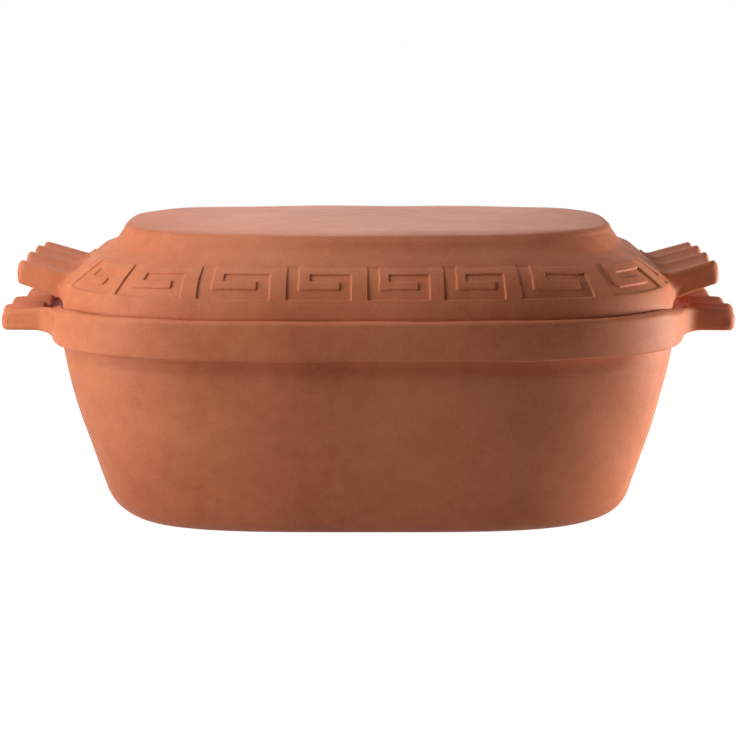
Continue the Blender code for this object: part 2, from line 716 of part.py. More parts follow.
def main():
    """Build the pot and the lid."""
    clear_scene()
    parts = new_collection(OBJECT_NAME)
    helpers = new_collection("cutters")
    pot = pot_shell(parts, clay("pot_clay", CLAY_COLOUR))
    lid = lid_shell(parts, clay("lid_clay", LID_CLAY_COLOUR))

    right_handle = pot_handle(helpers)
    boolean(pot, right_handle, "UNION")
    boolean(pot, half_turn(right_handle, "pot_ridges_left", helpers), "UNION")
    for direction in (0.0, pi):
        pocket = pocket_cutter(helpers)
        pocket.rotation_euler.z = direction
        boolean(pot, pocket, "DIFFERENCE")
    for rib in floor_ribs(helpers):
        boolean(pot, rib, "UNION")

    lid_right = lid_handle(helpers)
    boolean(lid, lid_right, "UNION")
    boolean(lid, half_turn(lid_right, "lid_ridges_left", helpers), "UNION")


main()
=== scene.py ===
"""Looks of an unglazed clay roaster: a deep oblong pot and a lid that lifts off.

Metres, +Z up, as in the construction: the origin is under the middle of the pot, X runs
along its length and the front faces -Y. Every section in plan is a superellipse, and each
half is one closed surface whose rings are worked out as whole arrays.
"""
import logging
from dataclasses import dataclass
from enum import Enum
from math import cos, pi, radians, sin, tan

import bmesh
import bpy
import numpy as np
from mathutils import Matrix, Vector


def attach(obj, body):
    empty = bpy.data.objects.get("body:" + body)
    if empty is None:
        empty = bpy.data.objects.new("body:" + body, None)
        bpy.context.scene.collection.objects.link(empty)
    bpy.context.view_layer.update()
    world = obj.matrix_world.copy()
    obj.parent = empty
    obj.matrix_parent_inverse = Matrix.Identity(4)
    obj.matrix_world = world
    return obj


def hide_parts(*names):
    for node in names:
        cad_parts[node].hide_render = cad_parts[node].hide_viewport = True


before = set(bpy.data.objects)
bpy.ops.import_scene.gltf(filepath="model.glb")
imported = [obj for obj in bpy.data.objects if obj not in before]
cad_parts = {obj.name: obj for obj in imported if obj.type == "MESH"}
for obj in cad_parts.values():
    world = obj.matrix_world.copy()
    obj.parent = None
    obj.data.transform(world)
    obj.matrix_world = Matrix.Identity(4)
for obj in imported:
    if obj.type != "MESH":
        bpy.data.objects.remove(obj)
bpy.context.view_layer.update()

LOG = logging.getLogger("clay_roaster")
MILLIMETRE = 0.001
# Points on a spline for each given one, and on a ring before its columns are placed on it.
SPLINE_STEPS = 40
PLAN_STEPS = 2880
NEWTON_STEPS = 8
# The rings of a flat disc, as shares of its edge.
OUTER_DISC = (0.93, 0.82, 0.62, 0.3)
INNER_DISC = (0.9, 0.72, 0.4, 0.2)


class Body(Enum):
    """The two halves, by the construction's body, node and finish slot."""

    POT = ("pot", "roaster_pot", "pot_clay")
    LID = ("lid", "roaster_lid", "lid_clay")

    @property
    def body(self) -> str:
        """Return the name of the moving body."""
        return self.value[0]

    @property
    def node(self) -> str:
        """Return the name of the node that the finished piece stands for."""
        return self.value[1]

    @property
    def slot(self) -> str:
        """Return the name of the finish slot."""
        return self.value[2]


class End(Enum):
    """The two ends of the roaster, by the turn that carries a +X shape to each."""

    RIGHT = 0.0
    LEFT = pi


def linear(colour: str) -> tuple[float, float, float, float]:
    """Turn an sRGB hex colour into linear red, green, blue and alpha.

    Args:
        colour: the colour as #RRGGBB.

    Returns:
        Four linear values for a socket.
    """
    values = [int(colour[place:place + 2], 16) / 255 for place in (1, 3, 5)]
    return tuple(v / 12.92 if v <= 0.04045 else ((v + 0.055) / 1.055) ** 2.4 for v in values) + (1.0,)


def add_node(tree: bpy.types.NodeTree, kind: str, settings: dict | None = None,
             inputs: dict | None = None) -> bpy.types.Node:
    """Add a shader node with its settings, values and links.

    Args:
        tree: the node tree.
        kind: the node's type name.
        settings: attributes of the node.
        inputs: values or output sockets, by input name or number.

    Returns:
        The new node.
    """
    node = tree.nodes.new(kind)
    for name, value in (settings or {}).items():
        setattr(node, name, value)
    for name, value in (inputs or {}).items():
        if isinstance(value, bpy.types.NodeSocket):
            tree.links.new(value, node.inputs[name])
        else:
            node.inputs[name].default_value = value
    return node


def smooth_step(value: np.ndarray, start: float, end: float) -> np.ndarray:
    """Return 0 up to start and 1 beyond end, eased in between by 3t^2 - 2t^3."""
    place = np.clip((value - start) / (end - start), 0, 1)
    return place ** 2 * (3 - 2 * place)


def smooth_through(points: tuple, count: int) -> np.ndarray:
    """Return points along a Catmull-Rom spline through a few given ones, evenly spaced.

    Args:
        points: the points that the curve passes, each (inset, height).
        count: how many points to return.

    Returns:
        An array (count, 2).
    """
    given = np.array(points, float)
    padded = np.vstack((2 * given[0] - given[1], given, 2 * given[-1] - given[-2]))
    place = np.linspace(0, len(given) - 1, SPLINE_STEPS * len(given))
    span = np.minimum(place.astype(int), len(given) - 2)
    t = (place - span)[:, None]
    a, b, c, d = (padded[span + shift] for shift in range(4))
    curve = 0.5 * (2 * b + (c - a) * t + (2 * a - 5 * b + 4 * c - d) * t ** 2
                   + (3 * b - a - 3 * c + d) * t ** 3)
    run = np.concatenate(([0.0], np.cumsum(np.hypot(*np.diff(curve, axis=0).T))))
    wanted = np.linspace(0, run[-1], count)
    return np.column_stack([np.interp(wanted, run, curve[:, axis]) for axis in (0, 1)])


def corner_rise(distance: np.ndarray, radius: float) -> np.ndarray:
    """Return a concave quarter round's height at a distance d: r (1 - sqrt(1 - (1 - d / r)^2))."""
    left = np.clip(1 - np.asarray(distance) / radius, 0, 1)
    return radius * (1 - np.sqrt(1 - left ** 2))


def outline_x(half_length: float, half_width: float, exponent: float, y: np.ndarray) -> np.ndarray:
    """Return the x of a superellipse's +X end at each y: a (1 - |y / b|^n)^(1/n)."""
    return half_length * (1 - np.abs(y / half_width) ** exponent) ** (1 / exponent)


def even_shares(columns: int) -> np.ndarray:
    """Return evenly spaced shares k / n of a perimeter."""
    return np.arange(columns) / columns


def plan_grid(sections: np.ndarray, shares: np.ndarray) -> np.ndarray:
    """Return closed superellipse rings with a column at each given share of the perimeter.

    The radius at polar angle t is (|cos t / a|^n + |sin t / b|^n)^(-1/n). Share 0 is the
    middle of the front, and shares grow towards +X.

    Args:
        sections: a row for each ring: half length a, half width b, exponent n, height.
        shares: each column's share of the perimeter, from 0 to 1.

    Returns:
        An array (ring, column, 3).
    """
    angle = np.linspace(-pi / 2, 1.5 * pi, PLAN_STEPS + 1)
    a, b, n, height = (sections[:, k, None] for k in range(4))
    radius = (np.abs(np.cos(angle) / a) ** n + np.abs(np.sin(angle) / b) ** n) ** (-1 / n)
    x, y = radius * np.cos(angle), radius * np.sin(angle)
    steps = np.hypot(np.diff(x), np.diff(y))
    run = np.hstack((np.zeros((len(sections), 1)), np.cumsum(steps, axis=1)))
    rings = [np.column_stack((np.interp(shares * r[-1], r, px), np.interp(shares * r[-1], r, py)))
             for r, px, py in zip(run, x, y)]
    return np.dstack((np.array(rings), np.repeat(height, len(shares), axis=1)))


def crowded(knots: np.ndarray, counts: tuple, crowding: float) -> np.ndarray:
    """Return places that crowd together near every knot, without the last knot.

    Within a span the place is t - c sin(2 pi t) / (2 pi) for even t, so spacing at the knots
    is 1 - c of the mean.

    Args:
        knots: the places where detail is finest, in order.
        counts: how many places each span has.
        crowding: the share c.

    Returns:
        The places in order, from the first knot on.
    """
    spans = []
    for start, end, count in zip(knots[:-1], knots[1:], counts):
        even = even_shares(count)
        spans.append(start + (end - start) * (even - crowding * np.sin(2 * pi * even) / (2 * pi)))
    return np.concatenate(spans)


def square_grid(sections: np.ndarray, base: np.ndarray) -> np.ndarray:
    """Return superellipse rings whose columns lie on lines square to a base ring in plan.

    Newton steps on the norm (|x / a|^n + |y / b|^n)^(1/n) = 1 find where each line from the
    base ring, along its outward normal, crosses each section.

    Args:
        sections: a row for each ring: half length a, half width b, exponent n, height.
        base: the base ring, each column as x, y and its outward normal's x, y.

    Returns:
        An array (ring, column, 3).
    """
    out_x, out_y = base[:, 2], base[:, 3]
    a, b, n, height = (sections[:, k, None] for k in range(4))
    far = np.zeros((len(sections), len(base)))
    for _ in range(NEWTON_STEPS):
        x, y = base[:, 0] + far * out_x, base[:, 1] + far * out_y
        ratio_x, ratio_y = np.abs(x / a), np.abs(y / b)
        norm = (ratio_x ** n + ratio_y ** n) ** (1 / n)
        climb = ratio_x ** (n - 1) * np.sign(x) * out_x / a + ratio_y ** (n - 1) * np.sign(y) * out_y / b
        far = far - (norm - 1) / (climb * norm ** (1 - n))
    x, y = base[:, 0] + far * out_x, base[:, 1] + far * out_y
    return np.dstack((x, y, np.broadcast_to(height, x.shape)))


class Surface:
    """A closed surface that grows ring by ring and is then made a mesh."""

    def __init__(self) -> None:
        """Start with no points and no faces."""
        self.points: list[np.ndarray] = []
        self.faces: list[np.ndarray] = []
        self.total = 0
        self.last = np.empty(0, int)

    def add_points(self, points: np.ndarray) -> np.ndarray:
        """Store points.

        Args:
            points: an array (point, 3).

        Returns:
            The points' numbers in the mesh.
        """
        numbers = np.arange(self.total, self.total + len(points))
        self.points.append(points)
        self.total += len(points)
        return numbers

    def add_ring(self, points: np.ndarray) -> None:
        """Join one more ring to the last: quads where counts agree, else 2 columns to 1.

        Args:
            points: the ring's points, an array (column, 3).
        """
        ring = self.add_points(points)
        if len(self.last):
            self.join(self.last, ring)
        self.last = ring

    def add_rings(self, grid: np.ndarray) -> None:
        """Add every ring of an array (ring, column, 3) in order."""
        for points in grid:
            self.add_ring(points)

    def join(self, lower: np.ndarray, upper: np.ndarray) -> None:
        """Fill the strip between two rings, which may differ in count by a factor of 2.

        Args:
            lower: the numbers of the first ring's points.
            upper: the numbers of the next ring's points.
        """
        if len(lower) == len(upper):
            self.faces.append(np.column_stack((lower, np.roll(lower, -1), np.roll(upper, -1), upper)))
            return
        fine, coarse = (lower, upper) if len(lower) > len(upper) else (upper, lower)
        even, odd, after = fine[0::2], fine[1::2], np.roll(fine, -2)[0::2]
        ahead = np.roll(coarse, -1)
        fans = [(even, odd, coarse), (odd, ahead, coarse), (odd, after, ahead)]
        for fan in fans:
            strip = np.column_stack(fan)
            self.faces.append(strip if len(lower) > len(upper) else strip[:, ::-1])

    def open_disc(self, edge: np.ndarray, shares: tuple) -> None:
        """Start from a middle point and rings that grow to an edge, doubling their columns.

        Args:
            edge: the points of the ring that is added next.
            shares: the size of each ring as a share of the edge, from the outermost inwards.
        """
        rings = [edge[::2 ** (k + 1)] * (share, share, 1) for k, share in enumerate(shares)]
        middle = self.add_points(np.array([[0.0, 0.0, edge[:, 2].mean()]]))
        self.last = self.add_points(rings[-1])
        self.fan(self.last, middle)
        self.add_rings(rings[-2::-1])

    def close_disc(self, shares: tuple) -> None:
        """Close the last ring with rings that shrink to a middle point, halving their columns.

        Args:
            shares: the size of each ring as a share of the edge, from the outermost inwards.
        """
        edge = self.points[-1]
        self.add_rings([edge[::2 ** (k + 1)] * (share, share, 1) for k, share in enumerate(shares)])
        self.fan(self.last, self.add_points(np.array([[0.0, 0.0, edge[:, 2].mean()]])))

    def fan(self, ring: np.ndarray, middle: np.ndarray) -> None:
        """Join a ring to its middle point."""
        self.faces.append(np.column_stack((ring, np.roll(ring, -1), np.repeat(middle, len(ring)))))

    def mesh(self, name: str) -> bpy.types.Mesh:
        """Make the surface a smooth mesh with all faces pointing out.

        Args:
            name: the mesh's name.

        Returns:
            The mesh.
        """
        corners = [row.tolist() for block in self.faces for row in block]
        data = bpy.data.meshes.new(name)
        data.from_pydata(np.vstack(self.points), [], corners)
        shape = bmesh.new()
        shape.from_mesh(data)
        bmesh.ops.recalc_face_normals(shape, faces=shape.faces)
        shape.to_mesh(data)
        shape.free()
        data.shade_smooth()
        return data


def new_object(name: str, data: bpy.types.ID) -> bpy.types.Object:
    """Link a new object at the origin.

    Args:
        name: the object's name.
        data: its mesh, light or camera.

    Returns:
        The object.
    """
    item = bpy.data.objects.new(name, data)
    bpy.context.scene.collection.objects.link(item)
    return item


def boolean(item: bpy.types.Object, tool: bpy.types.Object, operation: str) -> None:
    """Join or cut an object with a closed tool shape, and remove the tool.

    Args:
        item: the object to change.
        tool: the shape to join or cut with.
        operation: UNION or DIFFERENCE.
    """
    modifier = item.modifiers.new("joint", "BOOLEAN")
    modifier.operation, modifier.solver, modifier.object = operation, "MANIFOLD", tool
    bpy.context.view_layer.update()
    ready = item.evaluated_get(bpy.context.evaluated_depsgraph_get())
    joined = bpy.data.meshes.new_from_object(ready)
    item.modifiers.clear()
    item.data = joined
    bpy.data.objects.remove(tool)


def turned(data: bpy.types.Mesh, end: End) -> bpy.types.Object:
    """Place a tool shape at one end of the roaster, turned in its mesh.

    Args:
        data: the shape as it is at the +X end.
        end: the end at which it is wanted.

    Returns:
        An object at the origin.
    """
    copy = data.copy()
    copy.transform(Matrix.Rotation(end.value, 4, "Z"))
    return new_object(f"{data.name}_{end.name.lower()}", copy)


@dataclass(frozen=True)
class FiredClay:
    """Unglazed terracotta, slip cast and fired once.

    Its surface is dull and dry, with a fine sandy grain, faint clouds of lighter and darker
    firing and a few pores. It mirrors less than a dense surface would, because light sinks
    into its open pores. Sizes are in millimetres. The grain is drawn coarser than the real
    one, of about a third of a millimetre, so that it shows.
    """

    name: str
    pale: str = "#D07D55"
    middle: str = "#C3704A"
    deep: str = "#B1603D"
    tones: tuple = (0.66, 0.90, 1.14)
    roughness: float = 0.62
    specular_level: float = 0.32
    cloud_size: float = 90.0
    mottle_size: float = 9.0
    mottle_share: float = 0.45
    grain_size: float = 1.1
    grain_share: float = 0.35
    grain_height: float = 0.09
    pore_spacing: float = 5.0
    pore_edge: tuple = (0.03, 0.09)
    pore_share: float = 0.6

    def build(self) -> bpy.types.Material:
        """Work out every pattern's scale from its size, and mix colour and relief from them.

        Colour follows clouds + a mottle + b grain, with a and b the shares, over three tones.

        Returns:
            The material.
        """
        material = bpy.data.materials.new(self.name)
        material.use_nodes = True
        tree = material.node_tree
        tree.nodes.clear()
        place = add_node(tree, "ShaderNodeTexCoord").outputs["Object"]

        def noise(size: float, detail: float, roughness: float) -> bpy.types.NodeSocket:
            """Add noise.

            Args:
                size: about how far its features are across, in millimetres.
                detail: how many finer layers it has.
                roughness: how strong they are.

            Returns:
                The noise's value, about 0.5 in the mean.
            """
            scale = 1 / (size * MILLIMETRE)
            inputs = {"Vector": place, "Scale": scale, "Detail": detail, "Roughness": roughness}
            return add_node(tree, "ShaderNodeTexNoise", inputs=inputs).outputs["Fac"]

        def add_share(value: bpy.types.NodeSocket, share: float,
                      rest: bpy.types.NodeSocket) -> bpy.types.NodeSocket:
            """Return value times share, plus rest."""
            return add_node(tree, "ShaderNodeMath", {"operation": "MULTIPLY_ADD"},
                            {0: value, 1: share, 2: rest}).outputs[0]

        clouds = noise(self.cloud_size, 3.0, 0.55)
        mottle = noise(self.mottle_size, 4.0, 0.6)
        grain = noise(self.grain_size, 2.0, 0.6)
        blend = add_share(grain, self.grain_share, add_share(mottle, self.mottle_share, clouds))
        low, _, high = self.tones
        spread = add_node(tree, "ShaderNodeMapRange", inputs={0: blend, 1: low, 2: high}).outputs[0]
        ramp = add_node(tree, "ShaderNodeValToRGB", inputs={0: spread})
        elements = ramp.color_ramp.elements
        elements.new(0.5)
        for element, tone, colour in zip(elements, self.tones, (self.deep, self.middle, self.pale)):
            element.position = (tone - low) / (high - low)
            element.color = linear(colour)
        scale = 1 / (self.pore_spacing * MILLIMETRE)
        pores = add_node(tree, "ShaderNodeTexVoronoi", inputs={
            "Vector": place, "Scale": scale, "Randomness": 1.0}).outputs["Distance"]
        start, end = self.pore_edge
        hollow = add_node(tree, "ShaderNodeMapRange", inputs={0: pores, 1: start, 2: end}).outputs[0]
        bump = add_node(tree, "ShaderNodeBump", inputs={
            "Height": add_share(hollow, self.pore_share, grain), "Strength": 1.0,
            "Distance": self.grain_height * MILLIMETRE}).outputs[0]
        shader = add_node(tree, "ShaderNodeBsdfPrincipled", inputs={
            "Base Color": ramp.outputs[0], "Roughness": self.roughness, "Normal": bump,
            "Specular IOR Level": self.specular_level}).outputs[0]
        add_node(tree, "ShaderNodeOutputMaterial", inputs={"Surface": shader})
        return material


def mirrored(right: np.ndarray, middle: np.ndarray, sign: float = 1.0) -> np.ndarray:
    """Return values from one side to the other: the right side's turned round, middle, right."""
    return np.concatenate((sign * right[::-1], middle, right))


@dataclass(frozen=True)
class RidgedHandle:
    """A handle at the +X end: narrow ridges with hollow channels between them.

    The outermost ridges are the handle's top edges, above upright sides, and the tips are
    blunt. Subclasses say where the handle is rooted and how high it runs.
    """

    ridges: int = 4
    pitch: float = 0.026
    channel: float = 0.0036
    ridge_radius: float = 0.0007
    side_reach: float = 0.0026
    side_drop: float = 0.0032
    tip_scallop: float = 0.0012
    nose: float = 0.0034
    nose_drop: float = 0.0056
    low_nose: float = 0.0009
    nose_share: float = 0.85
    side_level: float = 0.5
    tip_corner: float = 0.0030
    edge_rounding: float = 0.0012
    seat: float = 0.0034
    flare: float = 0.0110
    edge_flare: float = 0.0110
    flare_power: int = 8
    ridge_steps: int = 18
    side_steps: int = 5
    stations: int = 34
    nose_steps: int = 8

    @property
    def half_width(self) -> float:
        """Return half the handle's width."""
        return (self.ridges - 1) * self.pitch / 2 + self.side_reach

    def top_root(self, y: np.ndarray) -> np.ndarray:
        """Return where the top starts, inside the shell, at each y."""
        raise NotImplementedError

    def low_root(self, y: np.ndarray) -> np.ndarray:
        """Return where the underside starts, inside the shell, at each y."""
        raise NotImplementedError

    def tip(self, y: np.ndarray) -> np.ndarray:
        """Return how far the handle reaches at each y."""
        raise NotImplementedError

    def crest(self, x: np.ndarray, y: np.ndarray) -> np.ndarray:
        """Return the height of the ridges' crests."""
        raise NotImplementedError

    def underside(self, x: np.ndarray, y: np.ndarray) -> np.ndarray:
        """Return the height of the underside."""
        raise NotImplementedError

    def hollow(self, y: np.ndarray) -> np.ndarray:
        """Shape a channel as a parabola between two ridges.

        The distance d to the nearest ridge is eased to sqrt(d^2 + r^2) - r, which rounds the
        ridge off. Beyond the outermost ridges there is no channel.

        Args:
            y: places across the handle.

        Returns:
            0 on a ridge and 1 in the middle of a channel.
        """
        across = (y + self.half_width - self.side_reach) / self.pitch
        away = np.abs(across - np.round(across)) * self.pitch
        eased = np.sqrt(away ** 2 + self.ridge_radius ** 2) - self.ridge_radius
        channel = 1 - (1 - 2 * eased / self.pitch) ** 2
        return np.where((across < 0) | (across > self.ridges - 1), 0.0, channel)

    def top_line(self) -> tuple[np.ndarray, np.ndarray, np.ndarray]:
        """Lay the points of the top across the handle, from one side to the other.

        The inner part holds the ridges and channels. Beyond the outermost ridges a quarter
        ellipse turns down, and then the upright side follows, whose share runs from 0 to 1
        part of the way down.

        Returns:
            y, the drop below the crest, and the side's share.
        """
        inner = self.half_width - self.side_reach
        middle = np.linspace(-inner, inner, (self.ridges - 1) * self.ridge_steps + 1)
        turn = np.linspace(0, pi / 2, self.side_steps + 1)[1:]
        share = np.linspace(0, 1, self.side_steps + 1)[1:]
        side_y = np.concatenate((inner + self.side_reach * np.sin(turn),
                                 np.full(len(share), self.half_width)))
        side_drop = np.concatenate((self.side_drop * (1 - np.cos(turn)),
                                    np.full(len(share), self.side_drop)))
        side_share = np.concatenate((np.zeros(len(turn)), share))
        return (mirrored(side_y, middle, -1.0), mirrored(side_drop, self.channel * self.hollow(middle)),
                mirrored(side_share, np.zeros(len(middle))))

    def low_line(self, length: int) -> tuple[np.ndarray, np.ndarray, np.ndarray]:
        """Lay the points of the underside across the handle, with rounded lower edges.

        Args:
            length: how many points there are.

        Returns:
            y, the rise above the underside, and the side's share.
        """
        turn = np.linspace(0, pi / 2, self.side_steps + 1)
        share = np.linspace(0, 1, self.side_steps + 1)[1:]
        flat = self.half_width - self.edge_rounding
        middle = np.linspace(-flat, flat, length - 2 * (2 * self.side_steps + 1) + 2)[1:-1]
        side_y = np.concatenate((self.half_width - self.edge_rounding * (1 - np.sin(turn)),
                                 np.full(len(share), self.half_width)))
        side_rise = np.concatenate((self.edge_rounding * (1 - np.cos(turn)),
                                    np.full(len(share), self.edge_rounding)))
        side_share = np.concatenate((np.zeros(len(turn)), share))
        nothing = np.zeros(len(middle))
        return mirrored(side_y, middle, -1.0), mirrored(side_rise, nothing), mirrored(side_share, nothing)

    def mesh(self, name: str) -> bpy.types.Mesh:
        """Loft the handle as one closed block that starts inside the shell.

        Station by station the section moves from the roots to the tips. Near the root the
        sides spread by a concave quarter round, widest at half their height. Over the last
        few stations the top turns down by a quarter ellipse and the underside turns up by a
        small quarter round, and an upright face closes the tips.

        Args:
            name: the mesh's name.

        Returns:
            The mesh.
        """
        top_y, drop, top_share = self.top_line()
        low_y, rise, low_share = self.low_line(len(top_y))
        even = np.linspace(0, 1, self.stations)
        stops = 0.5 * (1 - np.cos(even * pi / 2)) + 0.5 * even
        turns = np.linspace(0, 1, self.nose_steps)[1:]
        stop = np.concatenate((stops, np.ones(len(turns))))[:, None]
        turn = np.concatenate((np.zeros(self.stations), turns))[:, None] * pi / 2
        reach = (self.tip(top_y) - self.nose - self.top_root(top_y)).mean()

        def place(y: np.ndarray, root, nose: float, up: np.ndarray) -> tuple[np.ndarray, np.ndarray]:
            """Place a line's points at every station.

            Args:
                y: the line's places across the handle.
                root: the method that gives the line's start at each y.
                nose: the length of the rounding at the tip.
                up: each point's share of the handle's height.

            Returns:
                x and the spread y, arrays (station, point).
            """
            edge = np.abs(y / self.half_width)
            flare = self.edge_flare + (self.flare - self.edge_flare) * np.sin(pi * up)
            beyond = corner_rise(stop * reach - self.seat, flare)
            spread = y + np.sign(y) * edge ** self.flare_power * beyond
            past = np.clip((np.abs(y) - self.half_width + self.tip_corner) / self.tip_corner, 0, 1)
            tip = self.tip(y) - self.tip_corner * (1 - np.sqrt(1 - past ** 2))
            tip = tip - self.tip_scallop * self.hollow(y)
            start = root(spread)
            return start + (tip - nose - start) * stop + nose * np.sin(turn), spread

        top_x, top_spread = place(top_y, self.top_root, self.nose, 1 - top_share * (1 - self.side_level))
        low_x, low_spread = place(low_y, self.low_root, self.low_nose, low_share * self.side_level)
        bend = 1 - np.cos(turn)
        top = self.crest(top_x, top_spread) - drop
        low = self.underside(low_x, low_spread) + rise
        room = top - low[-1].max() - self.low_nose
        top = top - np.minimum(self.nose_drop, self.nose_share * room) * bend
        low = low + self.low_nose * bend
        level = low + (top - low) * self.side_level
        upper = np.dstack((top_x + (low_x - top_x) * top_share / 2, top_spread,
                           top + (level - top) * top_share))
        lower = np.dstack((low_x + (top_x - low_x) * low_share / 2, low_spread,
                           low + (level - low) * low_share))
        surface = Surface()
        surface.add_rings(np.concatenate((upper, lower[:, -2:0:-1]), axis=1))
        width = upper.shape[1]
        around = 2 * width - 2
        k = np.arange(width - 1)
        for first in (0, (len(upper) - 1) * around):
            ends = np.column_stack((first + k, first + k + 1, first + (around - k - 1) % around,
                                    first + (around - k) % around))
            surface.faces += [ends[1:-1], ends[:1, :3], ends[-1:, [0, 1, 3]]]
        return surface.mesh(name)


@dataclass(frozen=True)
class PotHandle(RidgedHandle):
    """The pot's handle, which runs out level from its rim band."""

    rim: tuple = (0.1815, 0.117, 3.5)
    length: float = 0.2147
    sweep: float = 0.0055
    top: float = 0.1199
    tip_drop: float = 0.0014
    side_rise: float = 0.0022
    bottom: float = 0.1081
    nose: float = 0.0036
    nose_drop: float = 0.0045
    low_nose: float = 0.0030
    edge_rounding: float = 0.0020
    under_reach: float = 0.0130
    under_drop: float = 0.0032

    def top_root(self, y: np.ndarray) -> np.ndarray:
        """Return the rim band's outer face, less the seat."""
        half_length, half_width, exponent = self.rim
        return outline_x(half_length - self.seat, half_width - self.seat, exponent, y)

    def low_root(self, y: np.ndarray) -> np.ndarray:
        """Return the same face for the underside."""
        return self.top_root(y)

    def tip(self, y: np.ndarray) -> np.ndarray:
        """Return the tips, swept back by a parabola towards the sides."""
        return self.length - self.sweep * (y / self.half_width) ** 2

    def crest(self, x: np.ndarray, y: np.ndarray) -> np.ndarray:
        """Bend the crest down by a parabola towards the tips; at the rim its sides are higher.

        Args:
            x: places along the handle.
            y: places across it.

        Returns:
            The crest's height.
        """
        run = np.clip((x - self.rim[0]) / (self.length - self.rim[0]), 0, 1) ** 2
        sides = self.side_rise * np.minimum(np.abs(y / self.half_width), 1) ** 2
        return self.top - self.tip_drop * run + sides * (1 - run)

    def underside(self, x: np.ndarray, y: np.ndarray) -> np.ndarray:
        """Return a level underside with an elliptical fillet down to the band's foot."""
        away = (x - outline_x(*self.rim, y)) * self.under_drop / self.under_reach
        return self.bottom - corner_rise(away, self.under_drop)


@dataclass(frozen=True)
class LidHandle(RidgedHandle):
    """The lid's handle, which rises outwards from the foot of its meander band."""

    flare: float = 0.0120
    edge_flare: float = 0.0035
    side_level: float = 0.45
    nose: float = 0.0040
    nose_drop: float = 0.0100
    low_nose: float = 0.0012
    rim: tuple = (0.1752, 0.1107, 3.5)
    length: float = 0.1997
    sweep: float = 0.0002
    top: float = 0.1440
    slope: float = radians(16.2)
    arch: float = 0.0017
    bottom: float = 0.1268
    under_slope: float = radians(20.4)
    under_fillet: float = 0.0030
    root_inset: float = 0.0066
    root_fall: float = 0.0009
    root_blend: float = 0.006
    band_slope: float = 1.0

    def level_x(self, inset: float, y: np.ndarray) -> np.ndarray:
        """Return the x of the lid's outline at an inset from its rim."""
        half_length, half_width, exponent = self.rim
        return outline_x(half_length - inset * 1.04, half_width - inset, exponent, y)

    def foot_x(self, y: np.ndarray) -> np.ndarray:
        """Return where the crest would cross the band's slope, lower down towards the sides."""
        return self.level_x(self.root_inset - self.root_fall * (y / self.half_width) ** 2, y)

    def top_root(self, y: np.ndarray) -> np.ndarray:
        """Return a line just inside the band's slope."""
        return self.foot_x(y) - self.root_blend

    def low_root(self, y: np.ndarray) -> np.ndarray:
        """Return a line just inside the lid's skirt."""
        return self.level_x(self.seat, y)

    def tip(self, y: np.ndarray) -> np.ndarray:
        """Return the tips, swept back by a parabola towards the sides."""
        return self.length - self.sweep * (y / self.half_width) ** 2

    def crest(self, x: np.ndarray, y: np.ndarray) -> np.ndarray:
        """Let the crest rise outwards and meet the band's slope by a parabola.

        Args:
            x: places along the handle.
            y: places across it.

        Returns:
            The crest's height.
        """
        away = np.clip(x - self.foot_x(y), -self.root_blend, self.root_blend)
        blend = (self.band_slope + tan(self.slope)) * (self.root_blend - away) ** 2 / (4 * self.root_blend)
        rise = (x - self.rim[0]) * tan(self.slope)
        return self.top + rise - self.arch * (y / self.half_width) ** 2 + blend

    def underside(self, x: np.ndarray, y: np.ndarray) -> np.ndarray:
        """Return an underside that rises outwards, with a small fillet at the skirt."""
        rise = (x - self.rim[0]) * tan(self.under_slope)
        return self.bottom + rise - corner_rise(x - self.level_x(0.0, y), self.under_fillet)


